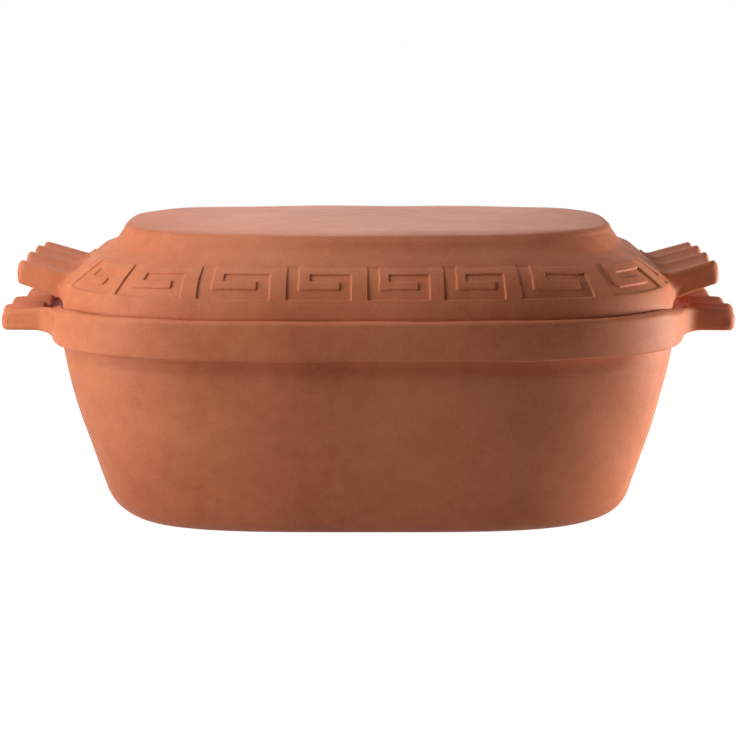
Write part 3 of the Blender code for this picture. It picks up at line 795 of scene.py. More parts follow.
@dataclass(frozen=True)
class Meander:
    """The raised meander pressed into the lid's slope, key by key round the lid.

    The background is sunk, and the key stands flush with the shoulder below it. Widths are
    a maker's, by hand, so they are uneven, and each half of the lid repeats them.
    """

    widths: tuple = (0.0370, 0.0445, 0.0470, 0.0430, 0.0405, 0.0400,
                     0.0490, 0.0455, 0.0370, 0.0365, 0.0365)
    start: float = -0.172
    columns: tuple = (0.155, 0.285, 0.665, 0.80)
    rows: tuple = (0.255, 0.50, 0.735)
    depth: float = 0.0010
    head_depth: float = 0.0007
    wall: float = 0.0006
    corner: float = 0.0007
    blend: float = 0.0007
    unevenness: float = 0.010
    row_unevenness: float = 0.004
    seed: int = 11
    key_columns: tuple = (11, 10, 18, 11, 14)
    row_rings: tuple = (9, 10, 10, 10)
    crowding: float = 0.7
    past_foot: tuple = (1.02, 1.045)
    foot_reach: float = 1.3
    key_before: float = -0.2
    head_share: float = 0.2
    handle_half_width: float = 0.046
    handle_ease: float = 0.003
    handle_from: tuple = (0.12, 0.14)

    def block(self, u: np.ndarray, v: np.ndarray, left: np.ndarray, right: np.ndarray,
              top: np.ndarray, bottom: np.ndarray) -> np.ndarray:
        """Measure the distance to a rectangle with rounded corners.

        Args:
            u: places along the band, from a key's start.
            v: places down the band's slope.
            left: the rectangle's side that is nearer the key's start.
            right: its other side.
            top: its side that is nearer the band's head.
            bottom: its side that is nearer the band's foot.

        Returns:
            The distance, below 0 inside.
        """
        across = np.abs(u - (left + right) / 2) - (right - left) / 2 + self.corner
        along = np.abs(v - (top + bottom) / 2) - (bottom - top) / 2 + self.corner
        outside = np.hypot(np.maximum(across, 0), np.maximum(along, 0))
        return outside + np.minimum(np.maximum(across, along), 0) - self.corner

    def merged(self, first: np.ndarray, second: np.ndarray) -> np.ndarray:
        """Return the smaller of two distances, less (r - |a - b|)^2 / 4r where they are alike."""
        near = np.maximum(self.blend - np.abs(first - second), 0)
        return np.minimum(first, second) - near ** 2 / (4 * self.blend)

    def layout(self, perimeter: float) -> tuple[np.ndarray, np.ndarray, np.ndarray, np.ndarray]:
        """Return every key's start, width, column edges as lengths and row edges as shares.

        Args:
            perimeter: the band's length round the lid.

        Returns:
            Starts and widths (key), column edges (edge, key) and row edges (edge, key).
        """
        widths = np.tile(self.widths, 2) * perimeter / (2 * sum(self.widths))
        starts = np.concatenate(([0.0], np.cumsum(widths)[:-1]))
        random = np.random.default_rng(self.seed)
        columns = np.array(self.columns)[:, None] + random.uniform(-1, 1, (4, len(widths))) * self.unevenness
        rows = np.array(self.rows)[:, None] + random.uniform(-1, 1, (3, len(widths))) * self.row_unevenness
        return starts, widths, columns * widths, rows

    def shares(self, perimeter: float) -> np.ndarray:
        """Place the columns round the lid, crowded at the keys' edges.

        Args:
            perimeter: the band's length round the lid.

        Returns:
            Each column's share of the perimeter.
        """
        starts, widths, edges, _ = self.layout(perimeter)
        places = [start + crowded(np.concatenate(([0.0], inner, [width])), self.key_columns, self.crowding)
                  for start, width, inner in zip(starts, widths, edges.T)]
        return (np.concatenate(places) + self.start) / perimeter % 1.0

    def levels(self) -> np.ndarray:
        """Place the rings on the slope, crowded at the keys' edges.

        Returns:
            Places from just below the band's foot, past 1, up to its head, 0.
        """
        knots = np.array((0.0, *self.rows, 1.0))
        down = np.append(crowded(knots, self.row_rings, self.crowding), (1.0, *self.past_foot))
        return down[::-1]

    def raised(self, share: np.ndarray, down: np.ndarray, perimeter: float, slope: float) -> np.ndarray:
        """Return how far each point of the band stands proud, from 0 to 1.

        Args:
            share: each column's share of the perimeter, from the middle of the front.
            down: each ring's place on the slope, 0 at the band's head and 1 at its foot.
            perimeter: the band's length round the lid.
            slope: the band's height along its slope.

        Returns:
            An array (ring, column).
        """
        starts, widths, edges, rows = self.layout(perimeter)
        place = (share * perimeter - self.start) % perimeter
        key = np.clip(np.searchsorted(starts, place + 1e-9, side="right") - 1, 0, len(widths) - 1)
        u = (place - starts[key])[None, :]
        v = (down * slope)[:, None]
        groove, strip, tongue_end, inner = edges[:, None, key]
        top, upper, tongue = rows[:, None, key] * slope
        head, foot, right = 0.0 * top, self.foot_reach * slope + 0.0 * top, widths[None, key]
        distance = self.block(u, v, groove, right, head, top)
        for sides in (
            (groove, strip, head, tongue),
            (groove, tongue_end, upper, tongue),
            (inner, right, head, foot),
            (self.key_before * right, 0.0 * right, head, foot),
        ):
            distance = self.merged(distance, self.block(u, v, *sides))
        distance = self.merged(distance, slope - v + 0.0 * u)
        return 1 - smooth_step(distance, -self.wall / 2, self.wall / 2)

    def beside_handles(self, points: np.ndarray) -> np.ndarray:
        """Find where the handles grow from the band, which is left plain there.

        Args:
            points: an array (..., 3).

        Returns:
            1 between a handle's sides, 0 elsewhere, and eased in between.
        """
        side = self.handle_half_width
        width = 1 - smooth_step(np.abs(points[..., 1]), side, side + self.handle_ease)
        return width * smooth_step(np.abs(points[..., 0]), *self.handle_from)

    def depths(self, down: np.ndarray) -> np.ndarray:
        """Return the groove's depth at each ring, shallower at the band's head."""
        return self.head_depth + (self.depth - self.head_depth) * smooth_step(down, 0.0, self.head_share)


@dataclass(frozen=True)
class Unevenness:
    """The slight waviness that slip casting and drying leave in a clay wall."""

    size: float = 0.055
    height: float = 0.00022
    waves: int = 14
    size_range: tuple = (0.6, 2.2)
    fade: float = 0.004
    seed: int = 5

    def apply(self, data: bpy.types.Mesh, floor: float) -> None:
        """Move a mesh's points along their normals by a sum of sine waves.

        Args:
            data: the mesh.
            floor: the height up to which the mesh stays as it is, so that it stands flat.
        """
        points, normals = read_vectors(data, "co"), read_vectors(data, "normal")
        random = np.random.default_rng(self.seed)
        heading = random.normal(size=(self.waves, 3))
        heading /= np.linalg.norm(heading, axis=1)[:, None]
        length = self.size * random.uniform(*self.size_range, self.waves)
        phase = random.uniform(0, 2 * pi, self.waves)
        wave = np.sin(points @ (heading * (2 * pi / length)[:, None]).T + phase)
        lift = wave.sum(axis=1) / np.sqrt(self.waves / 2) * self.height
        lift *= smooth_step(points[:, 2], floor, floor + self.fade)
        write_points(data, points + normals * lift[:, None])


def read_vectors(data: bpy.types.Mesh, name: str) -> np.ndarray:
    """Read a vector of every vertex.

    Args:
        data: the mesh.
        name: what to read: co for places or normal for normals.

    Returns:
        An array (vertex, 3).
    """
    values = np.empty(len(data.vertices) * 3)
    data.vertices.foreach_get(name, values)
    return values.reshape(-1, 3)


def write_points(data: bpy.types.Mesh, points: np.ndarray) -> None:
    """Put every vertex where an array says."""
    data.vertices.foreach_set("co", points.ravel())
    data.update()


@dataclass(frozen=True)
class Joiner:
    """Smooths the wet clay at each seam where handles were joined to a shell or pockets cut."""

    reach: float = 0.0032
    rounds: int = 24
    strength: float = 0.5
    full_share: float = 0.3
    passes: int = 14

    def smooth(self, item: bpy.types.Object) -> None:
        """Relax the points near the seams towards their neighbours' mean, and end on one slot.

        A seam point touches faces of both slots. The distance from the seams spreads along
        edges, and each round moves a point by its share of the way to the mean.

        Args:
            item: the joined object.
        """
        data = item.data
        corner_face = np.repeat(np.arange(len(data.polygons)), self.read(data.polygons, "loop_total"))
        corner_point = self.read(data.loops, "vertex_index")
        slot = self.read(data.polygons, "material_index")[corner_face]
        count = len(data.vertices)
        shell, joined = (np.bincount(corner_point, slot == number, count) > 0 for number in (0, 1))
        ends = self.read(data.edges, "vertices", 2).reshape(-1, 2)
        points = read_vectors(data, "co")
        length = np.linalg.norm(points[ends[:, 0]] - points[ends[:, 1]], axis=1)
        away = np.where(shell & joined, 0.0, 1.0)
        for _ in range(self.passes):
            for near, far in ((0, 1), (1, 0)):
                np.minimum.at(away, ends[:, far], away[ends[:, near]] + length)
        weight = self.strength * (1 - smooth_step(away, self.full_share * self.reach, self.reach))
        used = ends[(weight[ends] > 0).any(axis=1)]
        one, two = used[:, 0], used[:, 1]
        degree = np.maximum(np.bincount(one, minlength=count) + np.bincount(two, minlength=count), 1)
        for _ in range(self.rounds):
            for values in points.T:
                total = np.bincount(one, values[two], count) + np.bincount(two, values[one], count)
                values += weight * (total / degree - values) * (degree > 1)
        write_points(data, points)
        data.polygons.foreach_set("material_index", np.zeros(len(data.polygons), int))
        data.update()

    @staticmethod
    def read(items: bpy.types.bpy_prop_collection, name: str, width: int = 1) -> np.ndarray:
        """Read a whole-number property of every item.

        Args:
            items: the mesh's polygons, loops or edges.
            name: the property.
            width: how many values each item has.

        Returns:
            All values in a row.
        """
        values = np.empty(len(items) * width, int)
        items.foreach_get(name, values)
        return values


def with_slots(data: bpy.types.Mesh, material: bpy.types.Material, slot: int) -> bpy.types.Mesh:
    """Give a mesh two slots of one material and put all its faces in one of them.

    Args:
        data: the mesh.
        material: the material.
        slot: 0 for a shell, or 1 for what is joined to it, so that the seam can be found.

    Returns:
        The same mesh.
    """
    data.materials.clear()
    data.materials.append(material)
    data.materials.append(material)
    data.polygons.foreach_set("material_index", np.full(len(data.polygons), slot))
    data.update()
    return data


@dataclass
class RoasterPot:
    """The pot: an oblong tub with a rim band, a ledge for the lid and ridged handles."""

    half_length: float = 0.1815
    half_width: float = 0.117
    exponent: float = 3.5
    top: float = 0.1266
    band_height: float = 0.0214
    band_step: float = 0.0055
    band_crown: float = 0.0002
    band_rounding: float = 0.0016
    rim_rounding: float = 0.0024
    lip_width: float = 0.0057
    lip_rounding: float = 0.0010
    ledge_depth: float = 0.0085
    lip_at_handles: float = 0.0036
    lip_dip: tuple = (0.160, 0.181)
    undercut: float = 0.0030
    undercut_from: tuple = (0.0120, 0.0024)
    undercut_end: tuple = (0.125, 0.155)
    foot_inset: float = 0.0224
    foot_top: float = 0.0165
    foot_exponent: float = 3.9
    wall_curve: float = 1.29
    side_draw_in: float = 0.75
    wall: float = 0.0085
    floor: float = 0.009
    inner_foot_top: float = 0.0205
    rib_count: int = 5
    rib_pitch: float = 0.021
    rib_half_width: float = 0.0048
    rib_height: float = 0.0022
    rib_length: float = 0.190
    rib_shortening: float = 0.012
    floor_rings: int = 68
    sparse_floor: tuple = (0.3, 0.12)
    pocket_outer: float = 0.1885
    pocket_half_width: float = 0.0388
    pocket_floor: float = 0.1140
    pocket_rounding: float = 0.003
    pocket_undercut: float = 0.0018
    columns: int = 320
    wall_rings: int = 35
    fine_rings: int = 11
    fine_drop: tuple = (0.0122, 0.0002)
    fine_gap: float = 0.0013
    inner_rings: int = 26
    round_rings: int = 12

    @property
    def band_bottom(self) -> float:
        """Return the height of the rim band's underside."""
        return self.top - self.band_height

    @property
    def ledge(self) -> float:
        """Return the height of the ledge on which the lid sits."""
        return self.top - self.ledge_depth

    def body_rows(self, height: np.ndarray, inset: np.ndarray, wall: float = 0.0) -> np.ndarray:
        """Lay out plan sections of the body; the sides draw in less than the ends.

        Args:
            height: each section's height.
            inset: how far it lies inside the band's foot at the ends.
            wall: the wall's thickness, for the inside.

        Returns:
            Rows for plan_grid.
        """
        climb = np.clip(height / self.band_bottom, 0, 1)
        exponent = self.foot_exponent + (self.exponent - self.foot_exponent) * climb
        return np.column_stack((
            self.half_length - self.band_step - inset - wall,
            self.half_width - self.band_step - inset * self.side_draw_in - wall, exponent, height))

    def wall_inset(self, height: np.ndarray) -> np.ndarray:
        """Return how far the wall lies inside the band: a power of the climb still to go."""
        climb = np.clip((height - self.foot_top) / (self.band_bottom - self.foot_top), 0, 1)
        return self.foot_inset * (1 - climb) ** self.wall_curve

    def foot_round(self, floor: float, top: float) -> tuple[np.ndarray, np.ndarray]:
        """Round the corner between the leaning wall and a floor.

        It is part of a circle that touches the floor and meets the wall at the wall's own lean.

        Args:
            floor: the floor's height.
            top: the height at which the round leaves the wall.

        Returns:
            Its inset and height, downwards.
        """
        step = 0.0005
        lean = np.arctan((self.wall_inset(top) - self.wall_inset(top + step)) / step)
        radius = (top - floor) / (1 - np.sin(lean))
        turn = np.linspace(lean, pi / 2, self.round_rings)
        inset = self.wall_inset(top) + radius * (np.cos(lean) - np.cos(turn))
        return inset, floor + radius * (1 - np.sin(turn))

    def rim_rows(self, inset: np.ndarray, height: np.ndarray) -> np.ndarray:
        """Return plan sections of the rim, inset from the band's face."""
        return np.column_stack((self.half_length - inset, self.half_width - inset,
                                np.full(len(inset), self.exponent), height))

    def rim_profile(self) -> tuple[np.ndarray, np.ndarray]:
        """Trace the band, the lip and the ledge.

        The underside runs out level to a quarter round, the face is a shallow parabola, and
        quarter rounds close the lip on both sides.

        Returns:
            The inset and height, upwards over the lip and inwards along the ledge.
        """
        bottom, lower, upper = self.band_bottom, self.band_rounding, self.rim_rounding
        turn = np.linspace(0, pi / 2, 6)
        face = np.linspace(0, 1, 10)[1:-1]
        face_height = bottom + lower + (self.band_height - lower - upper) * face
        pieces = [
            (lower * (1 - np.sin(turn)), bottom + lower * (1 - np.cos(turn))),
            (-self.band_crown * 4 * face * (1 - face), face_height),
            (upper * (1 - np.cos(turn)), self.top - upper * (1 - np.sin(turn))),
            (np.array([0.5]) * (self.lip_width - self.lip_rounding + upper), np.array([self.top])),
            (self.lip_width - self.lip_rounding * (1 - np.sin(turn[::2])),
             self.top - self.lip_rounding * (1 - np.cos(turn[::2]))),
            (np.full(3, self.lip_width), np.linspace(self.top - 3 * self.lip_rounding, self.ledge, 3)),
            (np.linspace(self.lip_width, self.band_step + self.wall, 8)[1:-1], np.full(6, self.ledge)),
        ]
        inset, height = (np.concatenate(part) for part in zip(*pieces))
        return inset, height

    def dip(self, grid: np.ndarray) -> np.ndarray:
        """Lower what stands above the ledge towards both ends, where the handles are.

        Args:
            grid: rings of points, which are moved.

        Returns:
            The same rings.
        """
        ease = smooth_step(np.abs(grid[..., 0]), *self.lip_dip)
        above = np.maximum(grid[..., 2] - self.ledge, 0)
        grid[..., 2] += above * (self.lip_at_handles / self.ledge_depth - 1) * ease
        return grid

    def undercut_below(self, grid: np.ndarray) -> np.ndarray:
        """Draw the long walls in just below the band, which fades out towards the ends.

        Args:
            grid: rings of points, which are moved.

        Returns:
            The same rings.
        """
        start, full = (self.band_bottom - drop for drop in self.undercut_from)
        climb = smooth_step(grid[..., 2], start, full)
        fade = 1 - smooth_step(np.abs(grid[..., 0]), *self.undercut_end)
        grid[..., 1] -= np.sign(grid[..., 1]) * self.undercut * climb * fade
        return grid

    def rib_lift(self, grid: np.ndarray) -> np.ndarray:
        """Return how high the ribs stand over the inside floor: h (1 - (d / w)^2)^2.

        Here d is the distance from the line that a rib runs along, and the ribs get shorter
        by the square of their number from the middle one.

        Args:
            grid: points of the floor, an array (..., 3).

        Returns:
            The height to add to each.
        """
        lift = np.zeros(grid.shape[:-1])
        for place in np.arange(self.rib_count) - (self.rib_count - 1) / 2:
            half_run = self.rib_length / 2 - self.rib_shortening * place ** 2
            beyond = np.maximum(np.abs(grid[..., 0]) - half_run, 0)
            away = np.hypot(beyond, grid[..., 1] - place * self.rib_pitch) / self.rib_half_width
            lift = np.maximum(lift, self.rib_height * np.maximum(1 - away ** 2, 0) ** 2)
        return lift

    def inner_floor(self, edge: np.ndarray) -> list[np.ndarray]:
        """Fill the inside floor with rings that shrink evenly, with fewer columns inwards.

        Args:
            edge: the ring round the floor.

        Returns:
            The rings, from the outermost inwards.
        """
        rings = []
        for share in np.linspace(1, 0, self.floor_rings + 1)[1:-1]:
            halved = sum(share <= limit for limit in self.sparse_floor)
            ring = edge[::2 ** halved] * (share, share, 1)
            ring[:, 2] += self.rib_lift(ring)
            rings.append(ring)
        return rings

    def shell(self) -> bpy.types.Mesh:
        """Make the tub without its handles: foot, wall, band, lip, ledge and inside.

        Returns:
            A closed mesh.
        """
        bottom = self.band_bottom
        shares = even_shares(self.columns)
        foot_inset, foot_height = self.foot_round(0.0, self.foot_top)
        foot = self.body_rows(foot_height, foot_inset)[::-1]
        fine = bottom - np.linspace(*self.fine_drop, self.fine_rings)
        coarse = np.linspace(self.foot_top, bottom - self.fine_drop[0] - self.fine_gap, self.wall_rings + 1)
        height = np.concatenate((coarse[1:], fine))
        wall = plan_grid(np.vstack((foot, self.body_rows(height, self.wall_inset(height)))), shares)
        outside = self.undercut_below(wall)
        rim = self.dip(plan_grid(self.rim_rows(*self.rim_profile()), shares))
        down = np.concatenate(([self.ledge], np.linspace(bottom, self.inner_foot_top, self.inner_rings)))
        inner_inset = np.concatenate(([0.0], self.wall_inset(down[1:])))
        bend, inner_height = (part[1:] for part in self.foot_round(self.floor, self.inner_foot_top))
        inside = plan_grid(np.vstack((self.body_rows(down, inner_inset, self.wall),
                                      self.body_rows(inner_height, bend, self.wall))), shares[::2])
        edge = plan_grid(self.body_rows(inner_height[-1:], bend[-1:], self.wall), shares)[0]
        surface = Surface()
        surface.open_disc(outside[0], OUTER_DISC)
        for grid in (outside, rim, inside, self.inner_floor(edge)):
            surface.add_rings(grid)
        top = self.floor + self.rib_height
        surface.fan(surface.last, surface.add_points(np.array([[0.0, 0.0, top]])))
        return surface.mesh(Body.POT.node)

    def pocket(self, material: bpy.types.Material) -> bpy.types.Mesh:
        """Make the rounded block that cuts the pocket between the rim and a handle.

        Args:
            material: the material that the cut faces keep.

        Returns:
            A closed mesh at the +X end.
        """
        inner = self.half_length - self.lip_width - self.pocket_undercut
        shape = bmesh.new()
        bmesh.ops.create_cube(shape, size=1.0)
        size = (self.pocket_outer - inner, 2 * self.pocket_half_width, self.top)
        bmesh.ops.scale(shape, vec=size, verts=shape.verts)
        centre = ((self.pocket_outer + inner) / 2, 0.0, self.pocket_floor + self.top / 2)
        bmesh.ops.translate(shape, vec=centre, verts=shape.verts)
        bmesh.ops.bevel(shape, geom=shape.edges[:], offset=self.pocket_rounding, segments=5,
                        profile=0.5, affect="EDGES")
        bmesh.ops.triangulate(shape, faces=shape.faces)
        long_edges = [edge for edge in shape.edges if edge.calc_length() > 4 * self.pocket_rounding]
        bmesh.ops.subdivide_edges(shape, edges=long_edges, cuts=6, use_grid_fill=True)
        bmesh.ops.triangulate(shape, faces=shape.faces)
        data = bpy.data.meshes.new("pocket")
        shape.to_mesh(data)
        shape.free()
        data.shade_smooth()
        return with_slots(data, material, 1)

    def build(self, clay: bpy.types.Material) -> bpy.types.Object:
        """Join the tub and its handles, cut the pockets and smooth the seams.

        Args:
            clay: the pot's material.

        Returns:
            The finished pot as one closed piece.
        """
        item = new_object("pot", with_slots(self.shell(), clay, 0))
        handle = with_slots(PotHandle().mesh("pot_handle"), clay, 1)
        for end in End:
            boolean(item, turned(handle, end), "UNION")
        Joiner().smooth(item)
        for end in End:
            boolean(item, turned(self.pocket(clay), end), "DIFFERENCE")
        Joiner(reach=0.0012, rounds=8).smooth(item)
        Unevenness(seed=5).apply(item.data, 0.0006)
        return item


@dataclass
class RoasterLid:
    """The lid: a hollow dome with a meander band, a flat-topped crown and ridged handles.

    Its outside is given by two profiles of (inset from the rim, height), one for the long
    sides and one for the ends, blended round the corners.
    """

    half_length: float = 0.1752
    half_width: float = 0.1107
    exponents: tuple = (3.5, 2.9)
    full_inset: float = 0.0347
    end_draw_in: float = 1.04
    bottom: float = 0.1184
    top: float = 0.1678
    wall: float = 0.008
    crown_wall: float = 0.0085
    skirt: tuple = ((0.0, 0.1196), (0.0, 0.1240), (0.0001, 0.1275), (0.0007, 0.1308), (0.0015, 0.1340))
    band_foot: tuple = (0.0029, 0.1375)
    band_head: tuple = (0.0172, 0.1520)
    end_head: tuple = (0.0175, 0.1509)
    side_bulge: float = 0.0023
    end_bulge: float = 0.0002
    side_ledge: tuple = (0.0191, 0.1530)
    end_ledge: tuple = (0.0191, 0.1516)
    side_waist: tuple = ((0.0197, 0.1535), (0.0220, 0.1552), (0.0250, 0.1572), (0.0280, 0.1593))
    end_waist: tuple = ((0.0199, 0.1518), (0.0216, 0.1526), (0.0240, 0.1539), (0.0258, 0.1550))
    side_block: tuple = ((0.0304, 0.1614), (0.0314, 0.1625), (0.0323, 0.1634), (0.0332, 0.1643))
    end_block: tuple = ((0.0271, 0.1559), (0.0278, 0.1569), (0.0300, 0.1603), (0.0328, 0.1646))
    side_edge: tuple = ((0.0338, 0.1647), (0.0349, 0.1656), (0.0359, 0.1663), (0.0366, 0.1667),
                        (0.0382, 0.1670), (0.0420, 0.1674), (0.0490, 0.1678))
    end_top: float = 0.0372
    blend: tuple = (0.085, 0.144)
    skirt_step: tuple = (0.0019, 0.1351)
    side_step: tuple = (0.0194, 0.1533)
    end_step: tuple = (0.0194, 0.1517)
    ledge_shares: tuple = (0.25, 0.6, 1.0)
    inner_curve: tuple = ((0.0360, 0.1560), (0.0300, 0.1520), (0.0220, 0.1450), (0.0130, 0.1355))
    inner_foot: tuple = (0.1290, 0.1240)
    rim_rounding: float = 0.001

    def rows(self, inset: np.ndarray, height: np.ndarray) -> np.ndarray:
        """Lay out plan sections: the ends draw in a little faster and the corners grow rounder.

        Args:
            inset: how far each section lies inside the rim at the sides.
            height: its height.

        Returns:
            Rows for plan_grid and square_grid.
        """
        inset = np.asarray(inset, float)
        share = np.minimum(inset / self.full_inset, 1)
        return np.column_stack((
            self.half_length - inset * self.end_draw_in, self.half_width - inset,
            self.exponents[0] + (self.exponents[1] - self.exponents[0]) * share,
            np.broadcast_to(height, inset.shape)))

    def base(self, shares: np.ndarray) -> np.ndarray:
        """Return the ring at the middle of the band, which every outside ring's columns follow.

        Args:
            shares: each column's share of the perimeter.

        Returns:
            An array (column, 4) of x, y and the outward normal's x, y.
        """
        section = self.rows([(self.band_foot[0] + self.band_head[0]) / 2], 0.0)
        x, y = plan_grid(section, shares)[0, :, :2].T
        a, b, n, _ = section[0]
        out = np.column_stack((np.sign(x) * np.abs(x / a) ** (n - 1) / a,
                               np.sign(y) * np.abs(y / b) ** (n - 1) / b))
        return np.column_stack((x, y, out / np.linalg.norm(out, axis=1)[:, None]))

    def blended(self, side: tuple, end: tuple, base: np.ndarray) -> np.ndarray:
        """Return rings that follow one profile along the sides and another at the ends.

        Args:
            side: insets and heights of the side profile.
            end: insets and heights of the end profile, as many.
            base: the ring whose columns are followed.

        Returns:
            An array (ring, column, 3).
        """
        ease = smooth_step(np.abs(base[:, 0]), *self.blend)[None, :, None]
        return square_grid(self.rows(*side), base) * (1 - ease) + square_grid(self.rows(*end), base) * ease

    def ring_at(self, side: tuple, end: tuple, base: np.ndarray) -> np.ndarray:
        """Return one blended ring from an inset and height at the sides and at the ends."""
        return self.blended(*(([inset], height) for inset, height in (side, end)), base)

    def slope_line(self, down: np.ndarray, head: tuple, bulge: float, depth: np.ndarray) -> tuple:
        """Trace the band's slope: a chord, bulged by a parabola and sunk by a depth.

        Args:
            down: places on the slope, 0 at its head and 1 at its foot.
            head: the head's inset and height.
            bulge: the parabola's height.
            depth: how far each place is sunk.

        Returns:
            The inset and height of each place.
        """
        (foot_inset, foot_height), (head_inset, head_height) = self.band_foot, head
        run, rise = head_inset - foot_inset, head_height - foot_height
        length = np.hypot(run, rise)
        out = bulge * 4 * down * (1 - down) - depth
        return (head_inset - run * down - out * rise / length,
                head_height - rise * down + out * run / length)

    def band(self, meander: Meander, shares: np.ndarray, perimeter: float) -> np.ndarray:
        """Work out the band's rings from foot to head, with the meander in relief.

        The last rings carry the head inwards to the ledge on which the waist stands.

        Args:
            meander: the pattern.
            shares: each column's share of the perimeter.
            perimeter: the band's length round the lid.

        Returns:
            An array (ring, column, 3).
        """
        down = meander.levels()
        base = self.base(shares)
        slope = float(np.hypot(*(np.array(self.band_head) - self.band_foot)))
        depth = meander.depths(down)
        high, low = (
            self.blended(self.slope_line(down, self.band_head, self.side_bulge, sunk),
                         self.slope_line(down, self.end_head, self.end_bulge, sunk), base)
            for sunk in (0 * depth, depth))
        sunk = (1 - meander.raised(shares, down, perimeter, slope)) * (1 - meander.beside_handles(high))
        rings = high + (low - high) * sunk[..., None]
        ledge = self.ring_at(self.side_ledge, self.end_ledge, base)
        over = np.array(self.ledge_shares)[:, None, None]
        return np.concatenate((rings, rings[-1:] + (ledge - rings[-1:]) * over))

    def crown(self, base: np.ndarray) -> np.ndarray:
        """Work out the waist, the crown's wall and its rounding up to the flat top.

        Args:
            base: the ring whose columns are followed.

        Returns:
            An array (ring, column, 3).
        """
        turn = np.linspace(0, pi / 2, 8)[1:]
        side = np.vstack((smooth_through(self.side_waist + self.side_block, 19), self.side_edge))
        inset, height = self.end_block[-1]
        end = np.vstack((
            smooth_through(self.end_waist + self.end_block[:1], 10),
            smooth_through(self.end_block, 10)[1:],
            np.column_stack((inset + (self.end_top - inset) * (1 - np.cos(turn)),
                             height + (self.top - height) * np.sin(turn)))))
        return self.blended(side.T, end.T, base)

    def inner(self, shares: np.ndarray) -> np.ndarray:
        """Work out the inside, from under the crown down to the rim's underside.

        Args:
            shares: each column's share of the perimeter.

        Returns:
            An array (ring, column, 3).
        """
        upper, lower = self.inner_foot
        curve = smooth_through((
            (self.full_inset + self.wall, self.top - self.crown_wall), *self.inner_curve,
            (self.wall + 0.0006, upper), (self.wall, lower),
            (self.wall, self.bottom + self.rim_rounding)), 18)
        edge = np.array(((self.wall - self.rim_rounding, self.bottom), (self.rim_rounding, self.bottom)))
        curve = np.vstack((curve, edge))
        return plan_grid(self.rows(curve[:, 0], curve[:, 1]), shares)

    def shell(self, meander: Meander) -> bpy.types.Mesh:
        """Make the lid without its handles: inside, rim, skirt, band, waist and crown.

        Args:
            meander: the pattern.

        Returns:
            A closed mesh.
        """
        ring = self.base(even_shares(PLAN_STEPS))[:, :2]
        perimeter = float(np.linalg.norm(np.diff(ring, axis=0, append=ring[:1]), axis=1).sum())
        shares = meander.shares(perimeter)
        half, quarter = self.base(shares[::2]), self.base(shares[::4])
        inside = self.inner(shares[::4])
        skirt = smooth_through(self.skirt, 11)
        skirt_rings = square_grid(self.rows(skirt[:, 0], skirt[:, 1]), quarter)
        inset, height = self.skirt_step
        step = square_grid(self.rows([inset], height), half)
        band = self.band(meander, shares, perimeter)
        crown_step = self.ring_at(self.side_step, self.end_step, half)
        surface = Surface()
        surface.open_disc(inside[0], INNER_DISC)
        for grid in (inside, skirt_rings, step, band, crown_step, self.crown(quarter)):
            surface.add_rings(grid)
        surface.close_disc(OUTER_DISC)
        return surface.mesh(Body.LID.node)

    def build(self, clay: bpy.types.Material) -> bpy.types.Object:
        """Join the lid and its handles and smooth the seams.

        Args:
            clay: the lid's material.

        Returns:
            The finished lid as one closed piece.
        """
        item = new_object("lid", with_slots(self.shell(Meander()), clay, 0))
        handle = with_slots(LidHandle().mesh("lid_handle"), clay, 1)
        for end in End:
            boolean(item, turned(handle, end), "UNION")
        Joiner().smooth(item)
        Unevenness(seed=8).apply(item.data, self.bottom)
        return item


@dataclass(frozen=True)
class Lamp:
    """A square soft light that faces the roaster."""

    name: str
    place: tuple
    size: float
    watts: float
    colour: str = "#FFFFFF"
    target: tuple = (0.0, 0.0, 0.09)

    def build(self) -> None:
        """Add the lamp to the scene."""
        light = bpy.data.lights.new(self.name, "AREA")
        light.energy, light.size, light.color = self.watts, self.size, linear(self.colour)[:3]
        item = new_object(self.name, light)
        item.location = self.place
        aim = Vector(self.target) - Vector(self.place)
        item.rotation_euler = aim.to_track_quat("-Z", "Y").to_euler()


def seen_directly(tree: bpy.types.NodeTree) -> bpy.types.NodeSocket:
    """Add nodes that tell rays from the camera, from a mirror or through glass from others.

    Args:
        tree: the floor's or the world's nodes.

    Returns:
        1 for such rays, else 0.
    """
    path = add_node(tree, "ShaderNodeLightPath").outputs
    seen = path["Is Camera Ray"]
    for kind in ("Is Glossy Ray", "Is Transmission Ray"):
        seen = add_node(tree, "ShaderNodeMath", {"operation": "MAXIMUM"}, {0: seen, 1: path[kind]}).outputs[0]
    return seen


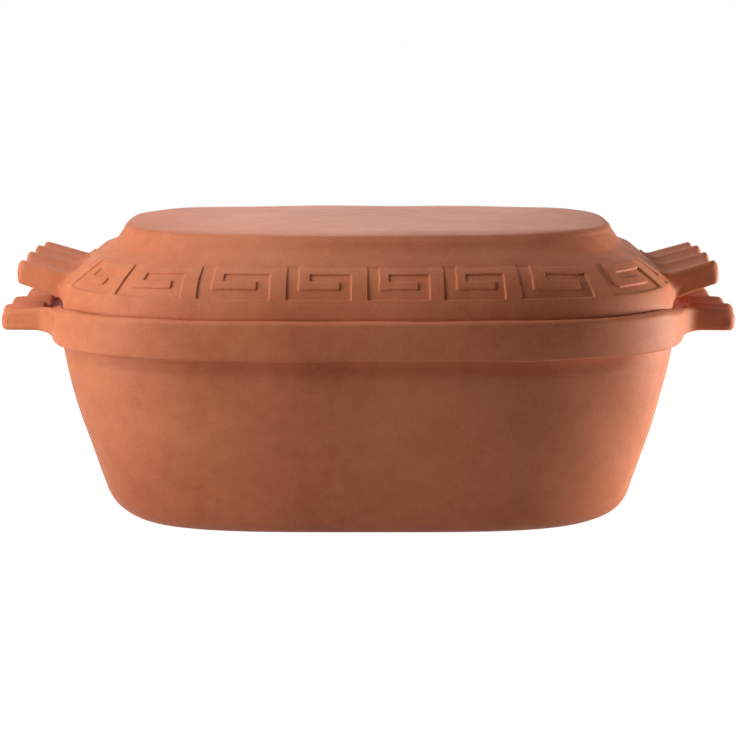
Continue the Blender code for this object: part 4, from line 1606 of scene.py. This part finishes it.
@dataclass
class Studio:
    """A pale floor, soft lamps and the camera, which looks down slightly on the front."""

    distance: float = 1.01517
    elevation: float = 0.2091
    aim_height: float = 0.0776
    lens: float = 82.89
    sensor: float = 36.0
    sky: float = 0.04
    floor_colour: str = "#C4C2C0"
    floor_glow: float = 0.985
    floor_size: float = 6.0
    floor_cells: int = 8
    lamps: tuple = (
        Lamp("left_near", (-0.45, -0.25, 0.15), 0.20, 0.86),
        Lamp("left_high", (-0.35, -0.20, 0.45), 0.25, 1.24),
        Lamp("left_floor", (-0.60, -0.40, 0.04), 0.15, 0.40),
        Lamp("above_back", (-0.10, 0.20, 0.80), 0.40, 1.20),
        Lamp("behind", (0.0, 0.60, 0.35), 0.40, 1.00),
        Lamp("right_low", (0.60, -0.05, 0.08), 0.10, 2.10),
        Lamp("right_end", (0.50, 0.00, 0.07), 0.12, 0.45),
    )

    def floor(self) -> None:
        """Add the floor: a light grey, shown to the camera almost at full white."""
        material = bpy.data.materials.new("studio_floor")
        material.use_nodes = True
        tree = material.node_tree
        tree.nodes.clear()
        colour = linear(self.floor_colour)
        lit = add_node(tree, "ShaderNodeBsdfDiffuse", inputs={"Color": colour}).outputs[0]
        strength = add_node(tree, "ShaderNodeMath", {"operation": "MULTIPLY"},
                            {0: seen_directly(tree), 1: self.floor_glow}).outputs[0]
        glow = add_node(tree, "ShaderNodeEmission", inputs={"Strength": strength}).outputs[0]
        both = add_node(tree, "ShaderNodeAddShader", inputs={0: lit, 1: glow}).outputs[0]
        add_node(tree, "ShaderNodeOutputMaterial", inputs={"Surface": both})
        shape = bmesh.new()
        bmesh.ops.create_grid(shape, x_segments=self.floor_cells, y_segments=self.floor_cells,
                              size=self.floor_size)
        data = bpy.data.meshes.new("studio_floor")
        shape.to_mesh(data)
        shape.free()
        data.materials.append(material)
        new_object("studio_floor", data)

    def world(self) -> None:
        """Light the scene evenly from all sides, and show white to the camera."""
        world = bpy.data.worlds.new("studio")
        bpy.context.scene.world = world
        world.use_nodes = True
        tree = world.node_tree
        tree.nodes.clear()
        strength = add_node(tree, "ShaderNodeMapRange",
                            inputs={0: seen_directly(tree), 3: self.sky, 4: 1.0}).outputs[0]
        colour = linear("#FFFFFF")
        sky = add_node(tree, "ShaderNodeBackground", inputs={"Color": colour, "Strength": strength})
        add_node(tree, "ShaderNodeOutputWorld", inputs={"Surface": sky.outputs[0]})

    def camera(self) -> None:
        """Add the camera at the photograph's angle."""
        data = bpy.data.cameras.new("camera")
        data.sensor_width, data.lens = self.sensor, self.lens
        item = new_object("camera", data)
        item.location = (0.0, -self.distance * cos(self.elevation),
                         self.aim_height + self.distance * sin(self.elevation))
        item.rotation_euler = (pi / 2 - self.elevation, 0.0, 0.0)
        bpy.context.scene.camera = item

    def build(self) -> None:
        """Set up the whole studio."""
        self.floor()
        self.world()
        self.camera()
        for lamp in self.lamps:
            lamp.build()
        bpy.context.scene.view_settings.view_transform = "Standard"


def main() -> None:
    """Build both halves and the studio, and report each piece."""
    logging.basicConfig(level=logging.INFO, format="%(name)s: %(message)s")
    halves = (
        (Body.POT, RoasterPot(), FiredClay("fired_clay_pot")),
        (Body.LID, RoasterLid(), FiredClay("fired_clay_lid")),
    )
    for half, builder, finish in halves:
        piece = builder.build(finish.build())
        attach(piece, half.body)
        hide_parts(half.node)
        LOG.info("%s: %d faces", piece.name, len(piece.data.polygons))
    Studio().build()


if __name__ == "__main__":
    main()
